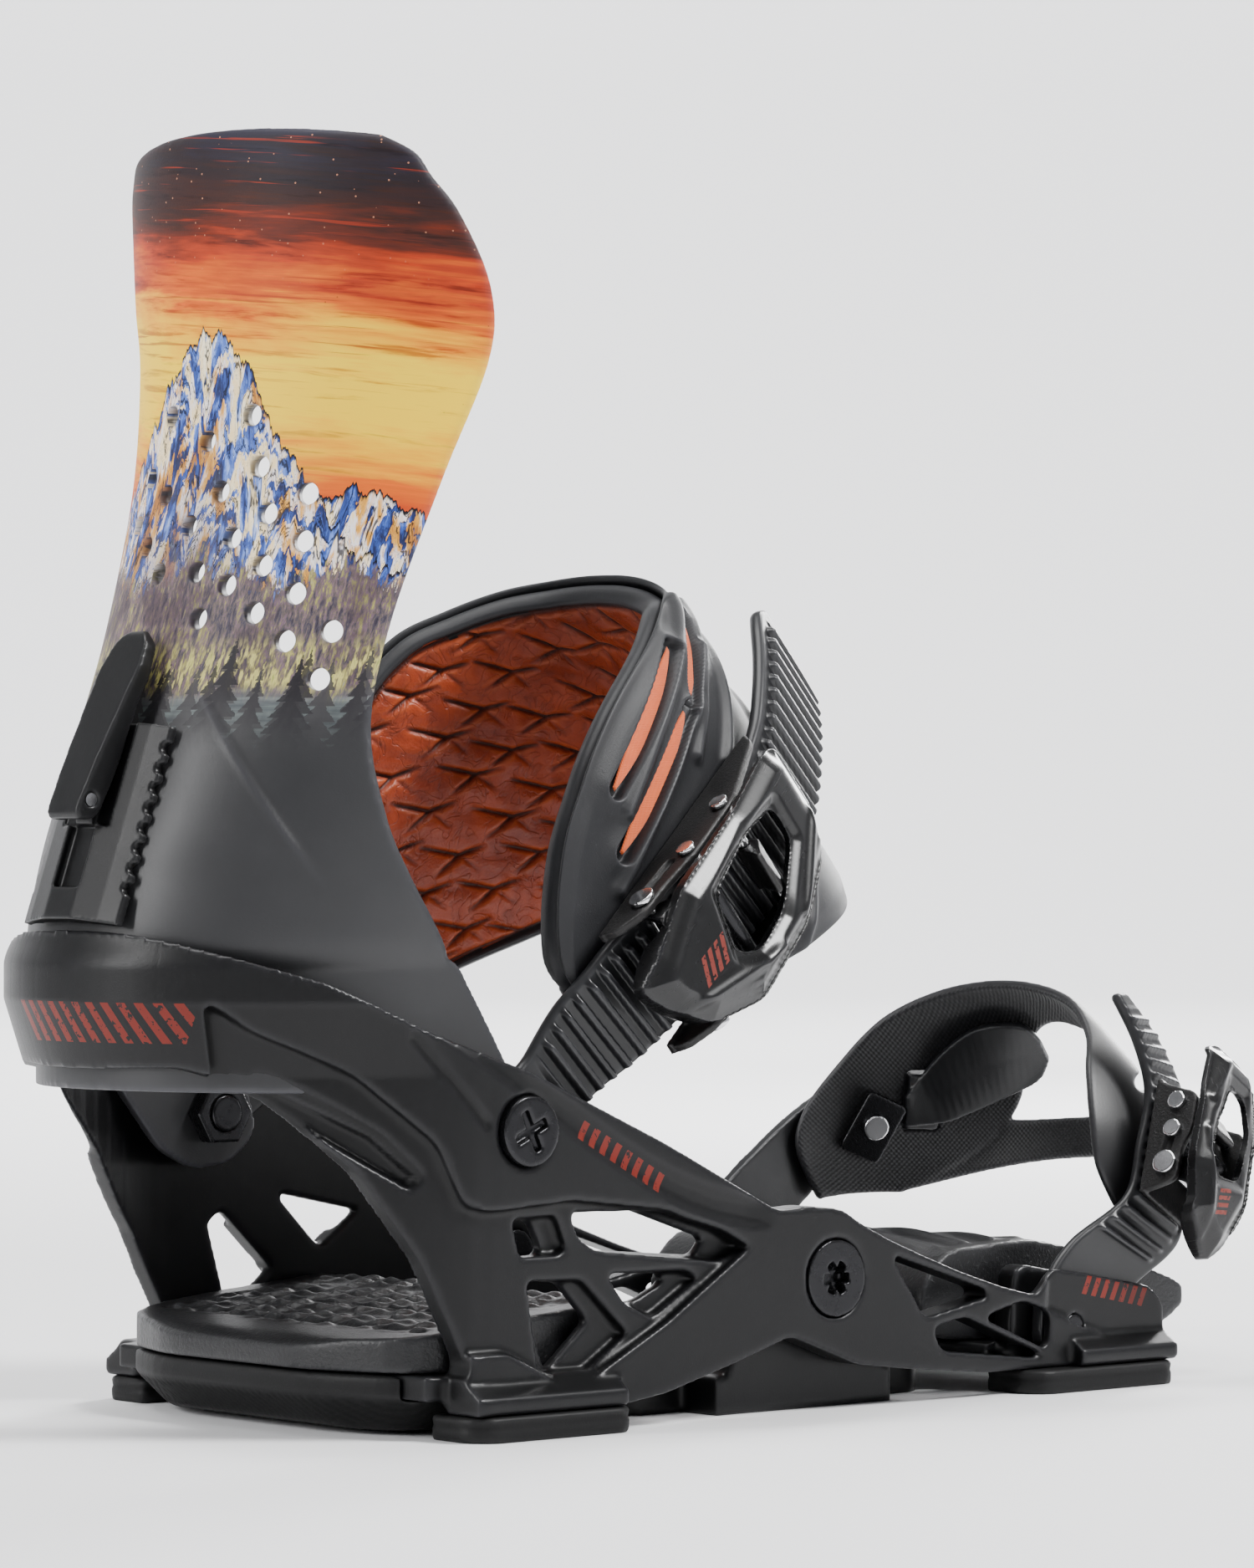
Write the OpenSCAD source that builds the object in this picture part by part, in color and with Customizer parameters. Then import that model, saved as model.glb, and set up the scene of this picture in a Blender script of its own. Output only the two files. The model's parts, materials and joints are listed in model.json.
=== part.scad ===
// Snowboard strap binding, right foot, on a pivoting truck-style base.
// X points to the toe and Z up from the board. -Y is the outer side, where the buckles are.
// The origin is the centre of the mounting disc's screw pattern, on the board's surface.

/* [Frame] */
// Width over the outer faces of the side rails
frame_w = 124; // [122:1:126]
// Thickness of a side rail
rail_t = 8; // [7:0.5:8]
// Length of the heel hoop behind the straight rails
hoop_len = 70; // [69.5:0.5:71]
// Thickness of the hoop at the back of the heel
hoop_t = 3.8; // [3:0.2:3.8]
// Depth of the lattice below the face of the arm
lattice_step = 2.5; // [1.5:0.5:3]
// Height of the rubber pads under the feet
pad_h = 5.4; // [4.5:0.1:5.4]

/* [Truck] */
// Diameter of the mounting disc
disc_d = 78; // [74:1:78]
// Spacing of the board screws, both ways
screw_pitch = 40; // [40:1:42]
// Length of each screw slot
slot_len = 14; // [10:1:14]
// Width of each screw slot
slot_w = 6.6; // [6.4:0.1:7]
// Diameter of a kingpin
kingpin_d = 10; // [8:1:10]

/* [Highback] */
// Height of the top edge above the board
highback_top = 272; // [270:1:275]
// Wall thickness of the highback
highback_t = 3.2; // [2.8:0.1:3.2]
// Diameter of a vent hole
vent_d = 4.8; // [4.4:0.2:6]

/* [Straps] */
// Angle of the ankle strap above the board
ankle_tilt = 39; // [37:1:41]
// Distance from the pivots to the top of the ankle arch
arch_len = 137; // [134:1:138]
// Half the width of the ankle arch
arch_half = 53; // [52:0.5:53]
// Thickness of a strap
strap_t = 3.2; // [2.8:0.1:3.4]
// Height of the ankle ladder's teeth
tooth_h = 1.1; // [0.7:0.1:1.2]

/* [Hidden] */
$fn = 48;

nylon = [0.10, 0.10, 0.11];
rubber = [0.06, 0.06, 0.06];
foam = [0.16, 0.16, 0.17];
steel = [0.62, 0.62, 0.64];
black_steel = [0.14, 0.14, 0.15];
leather = [0.48, 0.17, 0.08];
gloss = [0.03, 0.03, 0.03];
orange = [0.85, 0.36, 0.12];
print = [0.80, 0.40, 0.12];

// Half widths, measured from the centre plane
rail_out = frame_w / 2;
rail_in = rail_out - rail_t;
hoop_x = -92;
nose_x = 107;

// Pivot of the ankle strap and the highback
pivot_x = -85;
pivot_z = 64;
pivot_r = 4;
// Kingpins, on which the frame rocks
kingpin_x = 3;
kingpin_z = 29;
// Pivot of the toe strap
toe_x = 78;
toe_z = 14;
toe_r = 3;

// The layers at the ankle pivot, from the rail inwards
wing_r = 50;

// ---------------------------------------------------------------- shared functions

function mix(a, b, t) = a + (b - a) * t;
function unit(v) = v / norm(v);

// A cubic curve through every point; u runs from 0 to the number of points less one
function curve_at(p, u) =
  let(n = len(p) - 1, i = min(floor(u), n - 1), t = u - i,
      a = p[max(i - 1, 0)], b = p[i], c = p[i + 1], d = p[min(i + 2, n)])
  0.5 * (2 * b + (c - a) * t + (2 * a - 5 * b + 4 * c - d) * t * t
         + (3 * b - a - 3 * c + d) * t * t * t);
function curve(p, n) = [for (i = [0 : n]) curve_at(p, (len(p) - 1) * i / n)];

// An outline whose corners are eased over the length c
function eased(p, c = 2, n = 3) = [
  for (i = [0 : len(p) - 1])
    let(q = p[i], back = p[(i + len(p) - 1) % len(p)] - q, ahead = p[(i + 1) % len(p)] - q,
        a = q + unit(back) * min(c, norm(back) * 0.45),
        b = q + unit(ahead) * min(c, norm(ahead) * 0.45))
      for (k = [0 : n]) let(t = k / n) a * (1 - t) * (1 - t) + q * 2 * t * (1 - t) + b * t * t
];

// A closed solid through rings, each one side's points followed by the other side's in reverse
module skin(rings) {
  n = len(rings[0]);
  m = len(rings);
  half = n / 2;
  faces = concat(
    [for (j = [0 : half - 2]) each [[j, j + 1, n - 1 - j], [j + 1, n - 2 - j, n - 1 - j]]],
    [for (j = [0 : half - 2]) let(k = (m - 1) * n)
      each [[k + j, k + n - 1 - j, k + j + 1], [k + j + 1, k + n - 1 - j, k + n - 2 - j]]],
    [for (i = [0 : m - 2], j = [0 : n - 1])
      let(a = i * n + j, b = i * n + (j + 1) % n)
        each [[a, a + n, b], [b, a + n, b + n]]]
  );
  polyhedron([for (r = rings) each r], faces);
}

// The width of a band that bulges by just its crown
crown_width = 18;

// A band between two edges, t thick, whose outer face lies on the edges and bulges in proportion
module band(edge_a, edge_b, n, t, crown = 0) {
  a = curve(edge_a, n);
  b = curve(edge_b, n);
  across = crown > 0 ? [0, 0.2, 0.4, 0.6, 0.8, 1] : [0, 0.5, 1];
  skin([
    for (i = [0 : n])
      let(along = a[min(i + 1, n)] + b[min(i + 1, n)] - a[max(i - 1, 0)] - b[max(i - 1, 0)],
          out = unit(cross(along, b[i] - a[i])), swell = crown * norm(b[i] - a[i]) / crown_width)
        concat(
          [for (k = across) b[i] + (a[i] - b[i]) * k + out * swell * 4 * k * (1 - k)],
          [for (k = across) a[i] + (b[i] - a[i]) * k + out * (swell * 4 * k * (1 - k) - t)]
        )
  ]);
}

// A flat outline in X and Z, thickened along Y from y0 to y1
module wall(y0, y1) {
  translate([0, y1, 0]) rotate([90, 0, 0]) linear_extrude(y1 - y0) children();
}

module along_y(r, y0, y1, x, z) {
  translate([x, y1, z]) rotate([90, 0, 0]) cylinder(r = r, h = y1 - y0);
}

// Both sides from one, side = -1 near and +1 far
module on_side(side) {
  if (side < 0) mirror([0, 1, 0]) children();
  else children();
}

// ---------------------------------------------------------------- truck

ear_out = rail_in - 0.8;
ear_in = ear_out - 6.2;
plate_half = 42;
disc_h = 8;

module hanger_plate() color(nylon) {
  difference() {
    union() {
      linear_extrude(10) difference() {
        polygon(eased([[-42, -38], [-38, -plate_half], [46, -plate_half], [50, -38],
                       [50, 38], [46, plate_half], [-38, plate_half], [-42, 38]], 3));
        circle(r = disc_d / 2 + 0.4, $fn = 72);
      }
      linear_extrude(2.6) difference() {
        circle(r = disc_d / 2 + 1, $fn = 72);
        circle(r = disc_d / 2 - 5, $fn = 72);
      }
      for (side = [-1, 1]) on_side(side) {
        translate([-24, plate_half - 2, 0]) cube([52, ear_out - plate_half + 2, 8.5]);
        wall(ear_in, ear_out) polygon(eased([[-22, 0.5], [26, 0.5], [26, 8], [12, 34], [3, 38],
                                             [-6, 34], [-22, 8]], 4));
      }
    }
    for (side = [-1, 1]) on_side(side)
      along_y(kingpin_d / 2, ear_in - 1, ear_out + 1, kingpin_x, kingpin_z);
  }
}

module mounting_disc() color(black_steel) {
  difference() {
    union() {
      translate([0, 0, 3]) cylinder(r = disc_d / 2 - 0.2, h = disc_h - 3, $fn = 72);
      translate([0, 0, 0.6]) cylinder(r = disc_d / 2 - 5.4, h = 2.6, $fn = 72);
      cylinder(r = disc_d / 2 - 12, h = 0.8, $fn = 72);
    }
    for (x = [-1, 1], y = [-1, 1]) translate([x * screw_pitch / 2, y * screw_pitch / 2, 0]) {
      translate([-slot_len / 2 + slot_w / 2, -slot_w / 2, -1]) cube([slot_len - slot_w, slot_w, 12]);
      for (e = [-1, 1]) translate([e * (slot_len - slot_w) / 2, 0, -1])
        cylinder(r = slot_w / 2, h = 12);
    }
    translate([0, 0, disc_h - 2]) cylinder(r = 9, h = 3);
  }
}

module kingpin(side) color(black_steel) {
  on_side(side) difference() {
    union() {
      along_y(kingpin_d / 2, ear_in - 0.5, rail_out - 1.6, kingpin_x, kingpin_z);
      along_y(8.4, rail_out - 1.7, rail_out + 0.3, kingpin_x, kingpin_z);
    }
    wall(rail_out - 3, rail_out + 1) for (a = [0, 60, 120]) translate([kingpin_x, kingpin_z])
      rotate(a) square([7.5, 2.2], center = true);
  }
}

bush_r = 7.5;
module kingpin_bush(side) color(steel) {
  on_side(side) difference() {
    along_y(bush_r, rail_in - 0.6, rail_out - 2, kingpin_x, kingpin_z);
    along_y(kingpin_d / 2 + 0.05, rail_in - 2, rail_out, kingpin_x, kingpin_z);
  }
}

// ---------------------------------------------------------------- chassis

frame_outline = [
  [-175, 106], [-160, 106], [-149, 102], [-129, 95], [-109, 85], [-83, 76], [-46, 60], [-14, 44.5],
  [-4, 45], [5, 44], [10, 41], [19, 36.8], [28, 33.3], [41, 28.6], [54, 24.6], [65, 22], [70.5, 27.8],
  [81, 26.3], [102.5, 22.3], [107, 18], [107, 5.5], [50, 5.5], [28, 7.5], [10, 9.6], [-10, 17],
  [-27, 12], [-46, 7], [-57, 5.5], [-101, 5.5],
  [-101, 11], [-99, 16], [-109, 38], [-122, 56], [-139, 71], [-153, 78], [-175, 76]
];
// The face of the lattice and the rear strut, set back from the arm
lattice_face = [
  [-149, 92], [-142, 85], [-124, 76], [-107, 62], [-101, 49], [-95, 47.5], [-72, 49], [-46, 46],
  [-22, 37], [-46, 22], [-72, 9], [-90, 18], [-108, 18], [-135, 55], [-149, 68]
];
lattice_windows = [
  [[-87, 45.5], [-80, 45], [-77, 39], [-78, 37.5], [-85, 37.5]],
  [[-71, 46], [-69, 41], [-64, 38], [-34, 35.5], [-31, 39], [-52, 46]],
  [[-83, 32.5], [-72, 31.5], [-64, 23], [-76, 13]],
  [[-61, 33], [-43, 32], [-43, 30], [-51, 26.5], [-56, 26.5]]
];
lattice_pockets = [
  [[-87, 45.5], [-85, 37.5], [-74, 37.5], [-72, 39], [-75, 46]],
  [[-71, 46.5], [-69, 41], [-64, 38], [-29, 34], [-22, 37], [-30, 41], [-46, 45.5]],
  [[-83, 32.5], [-68, 32], [-55, 20], [-71, 10], [-80, 14]],
  [[-61, 33], [-38, 32.5], [-35, 30.5], [-48, 23], [-56, 26.5]]
];
far_windows = [
  [[-62, 45], [-38, 40], [-49, 32]],
  [[-81, 39], [-77, 41.5], [-63, 28], [-75, 18]]
];
// The inner side's rear leg is slimmer than the outer one's
far_leg_cut = [[-180, 13.6], [-91, 13.6], [-91, 16], [-103, 38], [-118, 56], [-137, 71],
               [-151, 77], [-180, 75]];
front_windows = [
  [[20, 33.4], [49, 24.2], [49.8, 22.4], [31.3, 19], [29.2, 19.8], [26.4, 24.2], [22.6, 29.2]],
  [[49.2, 18.2], [60.8, 21], [68.3, 18.6], [69.6, 16.9], [69, 11.4], [67.4, 10], [49.7, 17.2]],
  [[33, 15.7], [34.2, 16.9], [42.4, 18.3], [44.5, 17.7], [66.5, 8.9], [66.5, 7.8], [36.7, 11], [34.6, 12.3]]
];
strut_pocket = [[-142, 77], [-142, 71], [-111, 52], [-108, 55], [-117, 64], [-138, 76]];

function half_ellipse(a, b, n = 28) =
  [for (i = [0 : n]) let(q = 90 + 180 * i / n) [hoop_x + a * cos(q), b * sin(q)]];

module plan(inset = 0, front = nose_x) polygon(concat(
  half_ellipse(hoop_len - inset, rail_out - inset),
  [[front, -(rail_out - inset)], [front, rail_out - inset]]
));

module plan_hollow() polygon(concat(
  half_ellipse(hoop_len - hoop_t, rail_in), [[200, -rail_in], [200, rail_in]]
));

// The face between the outside of the rails and depth below it, over an X-Z outline
module face_cut(depth) intersection() {
  wall(-100, 100) children();
  linear_extrude(120) difference() {
    plan(-1, nose_x + 1);
    plan(depth, nose_x + 2);
  }
}

module foot_flare(x0, x1) {
  translate([x0, 0, 0]) rotate([90, 0, 90]) linear_extrude(x1 - x0)
    polygon([[rail_in + 1, 5.5], [rail_out + 3, 5.5], [rail_out + 4, 6.5], [rail_out + 4, 9],
             [rail_out - 2, 13], [rail_in + 1, 13]]);
}

module front_block() {
  wall(rail_in - 5, rail_in + 1)
    polygon(eased([[63, 8], [65, 27], [68, 28.5], [103, 21.5], [106, 18], [106, 8]], 1.5));
}

module chassis() color(nylon) {
  difference() {
    union() {
      difference() {
        intersection() {
          wall(-80, 80) difference() {
            polygon(eased(frame_outline, 2.2));
            for (w = front_windows) polygon(eased(w, 1.6));
          }
          linear_extrude(120) difference() {
            plan();
            plan_hollow();
          }
        }
        wall(-80, 0) for (w = lattice_windows) polygon(eased(w, 1.6));
        wall(0, 80) for (w = far_windows) polygon(eased(w, 1.6));
        wall(10, 80) polygon(far_leg_cut);
        face_cut(lattice_step) polygon(eased(lattice_face, 2.5));
        face_cut(lattice_step + 2.6) for (w = lattice_pockets) polygon(eased(w, 1.6));
        face_cut(lattice_step + 1.2) polygon(eased(strut_pocket, 2));
        face_cut(0.8) polygon([[68, 18.5], [69, 30], [112, 20], [112, 3]]);
      }
      for (side = [-1, 1]) on_side(side) {
        foot_flare(-101, -60);
        foot_flare(76, 107);
        front_block();
      }
      translate([-106, -rail_in - 1, 8.2]) cube([56, 2 * rail_in + 2, 5.2]);
      translate([56, -rail_in - 1, 6]) cube([48, 2 * rail_in + 2, 5]);
    }
    for (side = [-1, 1]) on_side(side) {
      // Bores of the kingpin sleeve and of the ankle pivot, with their head seats
      along_y(bush_r, rail_in - 2, rail_out + 1, kingpin_x, kingpin_z);
      along_y(8.7, rail_out - 2, rail_out + 2, kingpin_x, kingpin_z);
      along_y(pivot_r + 0.05, rail_in - 2, rail_out + 1, pivot_x, pivot_z);
      along_y(7.8, rail_out - 1.2, rail_out + 2, pivot_x, pivot_z);
      // The toe strap's slot and its screw
      wall(rail_in + 1, rail_in + 5.4)
        polygon([[62, 9], [68, 5.3], [92, 5.2], [104, 12], [104, 60], [62, 60]]);
      along_y(toe_r + 0.05, rail_in - 6, rail_in + 7.2, toe_x, toe_z);
      along_y(5.5, rail_in - 9, rail_in - 5, toe_x, toe_z);
    }
  }
}

module foot_pad(x0, x1, side) color(rubber) {
  on_side(side) {
    linear_extrude(pad_h) polygon(eased([[x0, 50], [x1, 50], [x1, 62], [x1 - 4, 66.6],
                                         [x0 + 4, 66.6], [x0, 62]], 2));
  }
}

// ---------------------------------------------------------------- footbeds

module heel_base() color(rubber) {
  difference() {
    translate([0, 0, 1]) linear_extrude(12.2)
      polygon(eased([[-115, -28], [-109, -44], [-103, -49.4], [-45, -49.4], [-45, 49.4], [-103, 49.4],
                     [-109, 44], [-115, 28]], 6));
    translate([-106.3, -60, 7.9]) cube([80, 120, 10]);
    translate([-120, -60, 4]) rotate([0, 20, 0]) translate([0, 0, -20]) cube([40, 120, 20]);
  }
}

module heel_footbed() color(foam) {
  difference() {
    intersection() {
      wall(-60, 60) polygon(eased([[-117, 13.6], [-117, 18], [-112, 20.5], [-80, 24], [-50, 26.5],
                                   [-45, 24], [-44, 13.6]], 2));
      linear_extrude(40) polygon(eased([[-116, -24], [-108, -46], [-98, -52], [-46, -52], [-44, -46],
                                        [-44, 46], [-46, 52], [-98, 52], [-108, 46], [-116, 24]], 7));
    }
    for (i = [0 : 5]) translate([-54 - i * 9, 0, 26.6 - i * 0.9]) rotate([90, 0, 0])
      cylinder(r = 1.1, h = 90, center = true, $fn = 16);
  }
}

module toe_footbed() color(foam) {
  wall(-46.4, 46.4) polygon(eased([[44, 13], [55.5, 11.2], [122, 11.2], [130, 16], [129, 21],
                                   [112, 27], [78, 33.5], [52, 32], [44, 25]], 4));
}

// ---------------------------------------------------------------- pivots

module pivot_bolt(side) color(black_steel) {
  on_side(side) difference() {
    union() {
      along_y(pivot_r, 41.5, rail_out - 1, pivot_x, pivot_z);
      along_y(7.4, rail_out - 1.1, rail_out + 1.6, pivot_x, pivot_z);
    }
    wall(rail_out, rail_out + 2) for (a = [25, 115]) translate([pivot_x, pivot_z])
      rotate(a) square([9, 2], center = true);
  }
}

module pivot_nut(side) color(black_steel) {
  on_side(side) difference() {
    wall(42.2, 46.4) translate([pivot_x, pivot_z]) circle(r = 7.5, $fn = 6);
    along_y(pivot_r, 40, 48, pivot_x, pivot_z);
  }
}

module toe_bolt(side) color(black_steel) {
  on_side(side) difference() {
    union() {
      along_y(toe_r, rail_in - 5.1, rail_in + 7, toe_x, toe_z);
      along_y(5.2, rail_in - 7.4, rail_in - 5.1, toe_x, toe_z);
    }
    along_y(1.6, rail_in - 8, rail_in - 5.8, toe_x, toe_z);
  }
}

// ---------------------------------------------------------------- highback

// Each station: height, radius, X of the back, half the arc length and rise at the centre
highback_stations = [
  [97, 49.7, -154.7, 88, 0], [104, 51, -157, 88, 0], [118, 52, -154, 76, 0], [130, 53, -150, 67, 0],
  [148, 55, -143, 58, 0], [170, 57, -135, 56, 0], [200, 61, -127, 61, 0], [225, 65, -124, 69, 1],
  [240, 68, -124.5, 70, 1.5], [255, 69, -125, 64, 2], [263, 70, -125, 58, 2.5],
  [268, 70, -124.5, 54, 3], [highback_top, 70, -124, 46, 3]
];

function shell_point(st, s, inset = 0) =
  let(r = st[1], q = s / r * 180 / PI, leg = abs(s) - r * PI / 2, k = r - inset, cx = st[2] + r,
      z = st[0] + st[4] * (1 - pow(s / st[3], 2)))
  leg < 0 ? [cx - k * cos(q), -k * sin(q), z] : [cx + leg, -sign(s) * k, z];

function shell_ring(st, t, n = 24) = concat(
  [for (i = [0 : n]) shell_point(st, st[3] * (2 * i / n - 1))],
  [for (i = [n : -1 : 0]) shell_point(st, st[3] * (2 * i / n - 1), t)]
);

wing_outline = [
  [-170, 73], [-112, 72], [-99, 56], [-90, 51.5], [-80, 52.5], [-73, 59], [-74, 66], [-79, 75],
  [-85, 85], [-91.4, 95], [-94.5, 100], [-170, 100]
];

// Where the lower, straight part of the shell is centred
wing_cx = -105;

// Vents: arc length from the spine, then height
vents = [
  [-10, 215], [5, 209], [18, 214], [-17, 202], [-8, 198], [11, 198], [21, 203], [33, 197],
  [-20, 192], [-12, 187], [-4, 181], [3, 191], [16, 188], [24, 193], [32.6, 187], [24.2, 182],
  [8, 181], [16.5, 178], [11, 171], [23.6, 172], [31.8, 176], [30.5, 166], [39.5, 168], [37.5, 158]
];

module highback_shell() color(print) {
  difference() {
    union() {
      intersection() {
        wall(-60, 60) polygon(eased(wing_outline, 3));
        translate([0, 0, 45]) linear_extrude(60) difference() {
          union() {
            translate([wing_cx, 0]) circle(r = wing_r, $fn = 96);
            translate([wing_cx, -wing_r]) square([60, 2 * wing_r]);
          }
          translate([wing_cx, 0]) circle(r = wing_r - highback_t, $fn = 96);
          translate([wing_cx, -wing_r + highback_t]) square([90, 2 * (wing_r - highback_t)]);
        }
      }
      skin([for (st = highback_stations)
              shell_ring(st, st[0] < 100 ? highback_t - 0.6 : highback_t)]);
    }
    for (side = [-1, 1]) on_side(side) along_y(pivot_r + 0.05, 40, 56, pivot_x, pivot_z);
    for (v = vents) translate([-70, 0, v[1]]) rotate([0, 0, v[0] * 0.98]) rotate([0, -90, 0])
      cylinder(r = vent_d / 2, h = 90, $fn = 24);
  }
}

// A thin cushion on the inside of the highback
pad_stations = [
  [112, 51.5, -155.4, 30, 0], [120, 52, -153.4, 38, 0], [130, 53, -150, 40, 0],
  [148, 55, -143, 40, 0], [158, 56, -139.4, 38, 0]
];
module highback_pad() color(foam) {
  skin([for (st = pad_stations) let(n = 16) concat(
    [for (i = [0 : n]) shell_point(st, st[3] * (2 * i / n - 1), highback_t + 0.5)],
    [for (i = [n : -1 : 0]) shell_point(st, st[3] * (2 * i / n - 1), highback_t + 4.5)]
  )]);
}

// The spine of the highback leans forward by this angle
spine_lean = 19;
spine_x = -157.2;
spine_z = 106;
// The lever's pin: distance up the spine and outwards
pin_s = 26;
pin_out = 7.6;
pin_r = 1.4;

// Along the spine: X outwards from the shell, Z up the spine
module on_spine() {
  translate([spine_x, 0, spine_z]) rotate([0, spine_lean, 0]) mirror([1, 0, 0]) children();
}

module lean_block() color(nylon) {
  on_spine() difference() {
    union() {
      translate([0, 0, 1]) linear_extrude(43.6) difference() {
        polygon([[-2, -16.5], [0.8, -16.5], [2.6, -12], [4.6, -4.5], [4.6, 4.5], [2.6, 12],
                 [0.8, 16.5], [-2, 16.5]]);
        translate([1.5 - 56, 0]) circle(r = 56, $fn = 180);
      }
      wall(-2.6, 2.6) polygon([[1.7, 22], [6, 23.4], [9.2, 25], [9.2, 27], [7, 29], [1.7, 36]]);
    }
    wall(-4.6, 4.6) polygon([[2.6, 8], [9, 8], [9, 21.8], [2.6, 21.8]]);
    for (s = [-1, 1]) wall(s * 5.4 - 2.6, s * 5.4 + 2.6)
      polygon([[3, 21.7], [9, 21.7], [9, 60], [3, 60]]);
    wall(-2.8, 2.8) polygon([[3, 34], [9, 34], [9, 60], [3, 60]]);
    for (i = [0 : 7], s = [-1, 1]) translate([0, s * 16.6, 9 + i * 4.4]) rotate([0, 90, 0])
      cylinder(r = 1.3, h = 10, center = true, $fn = 16);
    along_y(pin_r, -20, 20, pin_out, pin_s);
  }
}

module lean_pin() color(steel) {
  on_spine() along_y(pin_r, -5.4, 5.4, pin_out, pin_s);
}

module lean_lever() color(nylon) {
  on_spine() difference() {
    intersection() {
      wall(-8, 8) polygon(eased([[4.6, 24.5], [6, 22], [9.6, 21], [10.6, 23], [9.4, 35], [7, 52],
                                 [5, 64], [3.2, 65.5], [2.2, 62], [3.6, 48], [3.6, 34]], 1.2));
      rotate([0, 90, 0]) translate([0, 0, -2]) linear_extrude(16)
        polygon(eased([[-20, -5.2], [-20, 5.2], [-56, 7], [-62, 5.6], [-66, 1.5], [-66, -1.5],
                       [-62, -5.6], [-56, -7]], 1.5));
    }
    wall(-2.9, 2.9) polygon([[0, 18], [7.5, 18], [9.6, 24.8], [9.6, 27.4], [7.4, 30], [5.6, 37], [0, 37]]);
    along_y(pin_r + 0.05, -20, 20, pin_out, pin_s);
  }
}

// ---------------------------------------------------------------- ankle strap

// In the strap's own frame X runs along the strap from the pivots, and Z across its width
module in_ankle() {
  translate([pivot_x, 0, pivot_z]) rotate([0, -ankle_tilt, 0]) children();
}

// The arch of the pad: q is 0 at the far pivot and 180 at the near one
function arch(q) = [arch_len * pow(sin(q), 0.62), arch_half * sign(cos(q)) * pow(abs(cos(q)), 0.85)];
function arch_out(q) = let(d = unit(arch(q + 0.5) - arch(q - 0.5))) [-d[1], d[0]];
function arch_in(q, depth) = arch(q) - arch_out(q) * depth;

// Each station of the pad: angle along the arch, upper edge and lower edge
pad_edges = [
  [12, 34, -14], [20, 42, -19], [30, 50.5, -25], [40, 53.5, -29.5], [50, 51.5, -33], [62, 49, -36],
  [74, 46.4, -39], [90, 44.8, -41],
  [108, 43.8, -42], [123, 47, -40.5], [138, 47.3, -35], [150, 46.6, -28.5], [158, 43.6, -20],
  [163.5, 39, -12.5], [167, 34.8, -8.5], [169.8, 29, -5], [171.8, 23, -1.5], [173, 17.5, 2.5],
  [173.6, 12.5, 6.5]
];
pad_n = 48;
exo_t = 2.2;
liner_t = 5;

module arch_pad(d0, d1, shrink = 0) {
  e = curve(pad_edges, pad_n);
  m = 6;
  skin([for (k = e) let(a = arch_in(k[0], d0), b = arch_in(k[0], d1)) concat(
    [for (j = [0 : m]) [a[0], a[1], mix(k[2] + shrink, k[1] - shrink, j / m)]],
    [for (j = [m : -1 : 0]) [b[0], b[1], mix(k[2] + shrink, k[1] - shrink, j / m)]]
  )]);
}

module ankle_exo() color(nylon) in_ankle() arch_pad(0, exo_t);
module ankle_liner() color(leather) in_ankle() arch_pad(exo_t + 0.25, exo_t + 0.25 + liner_t, 1);

// Slanting strips in the slots of the exoskeleton
near_inlays = [[135, 159.5, 42.5, 34], [140.5, 163, 30.5, 22.5], [121, 138, 41, 31], [127, 142, -8, -24]];
inlays = concat(near_inlays, [for (s = near_inlays) [180 - s[1], 180 - s[0], s[3], s[2]]]);
module ankle_inlay() color(orange) in_ankle() {
  for (s = inlays) skin([for (i = [0 : 6])
    let(q = mix(s[0], s[1], i / 6), v = mix(s[2], s[3], i / 6), w = 0.4 + 2.6 * sin(30 * i),
        a = arch_in(q, -0.9), b = arch_in(q, -0.3))
      [[a[0], a[1], v - w], [a[0], a[1], v + w], [b[0], b[1], v + w], [b[0], b[1], v - w]]]);
}

// The strap's path beside the pad, as distance from the pivot and distance from the centre
strap_path = [
  [-13, 52], [0, 52], [18, 52], [27, 52.6], [36, 54.9], [48, 55.8], [60, 55.6], [84, 52.4],
  [107, 45.6], [122, 39], [137, 30], [150, 20], [156, 15]
];

function path_normals(p) = [for (i = [0 : len(p) - 1])
  let(d = unit(p[min(i + 1, len(p) - 1)] - p[max(i - 1, 0)])) [-d[1], d[0]]];

// A strap along the path from end to end, with teeth on its outer face from tooth_from onwards
function strap_section(path, n, t, tooth_from) =
  let(p = curve(path, n), d = path_normals(p)) concat(
    [for (i = [0 : n]) p[i] + d[i] * (t / 2 + (p[i][0] > tooth_from && i % 2 == 1 ? tooth_h : 0))],
    [for (i = [n : -1 : 0]) p[i] - d[i] * t / 2]
  );

// The way that the ladder needs through its buckle
function strap_room(path, n) =
  let(p = curve(path, n), d = path_normals(p)) concat(
    [for (i = [0 : n]) p[i] + d[i] * (strap_t / 2 + tooth_h + 0.5)],
    [for (i = [n : -1 : 0]) p[i] - d[i] * (strap_t / 2 + 0.4)]
  );

ladder_outline = [
  [-11, -8], [-11, 8], [14, 6.5], [30, 11], [44, 13], [98, 12.5], [113, 13.2], [120, 15.5], [149, 24],
  [153, 21], [153, -2], [146, -4.5], [120, -11], [98, -13], [44, -12], [14, -11]
];
far_outline = [[-11, -8], [-11, 8], [14, 8], [30, 13], [62, 14], [74, 9], [74, -7], [62, -12],
               [30, -12], [14, -10]];

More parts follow.
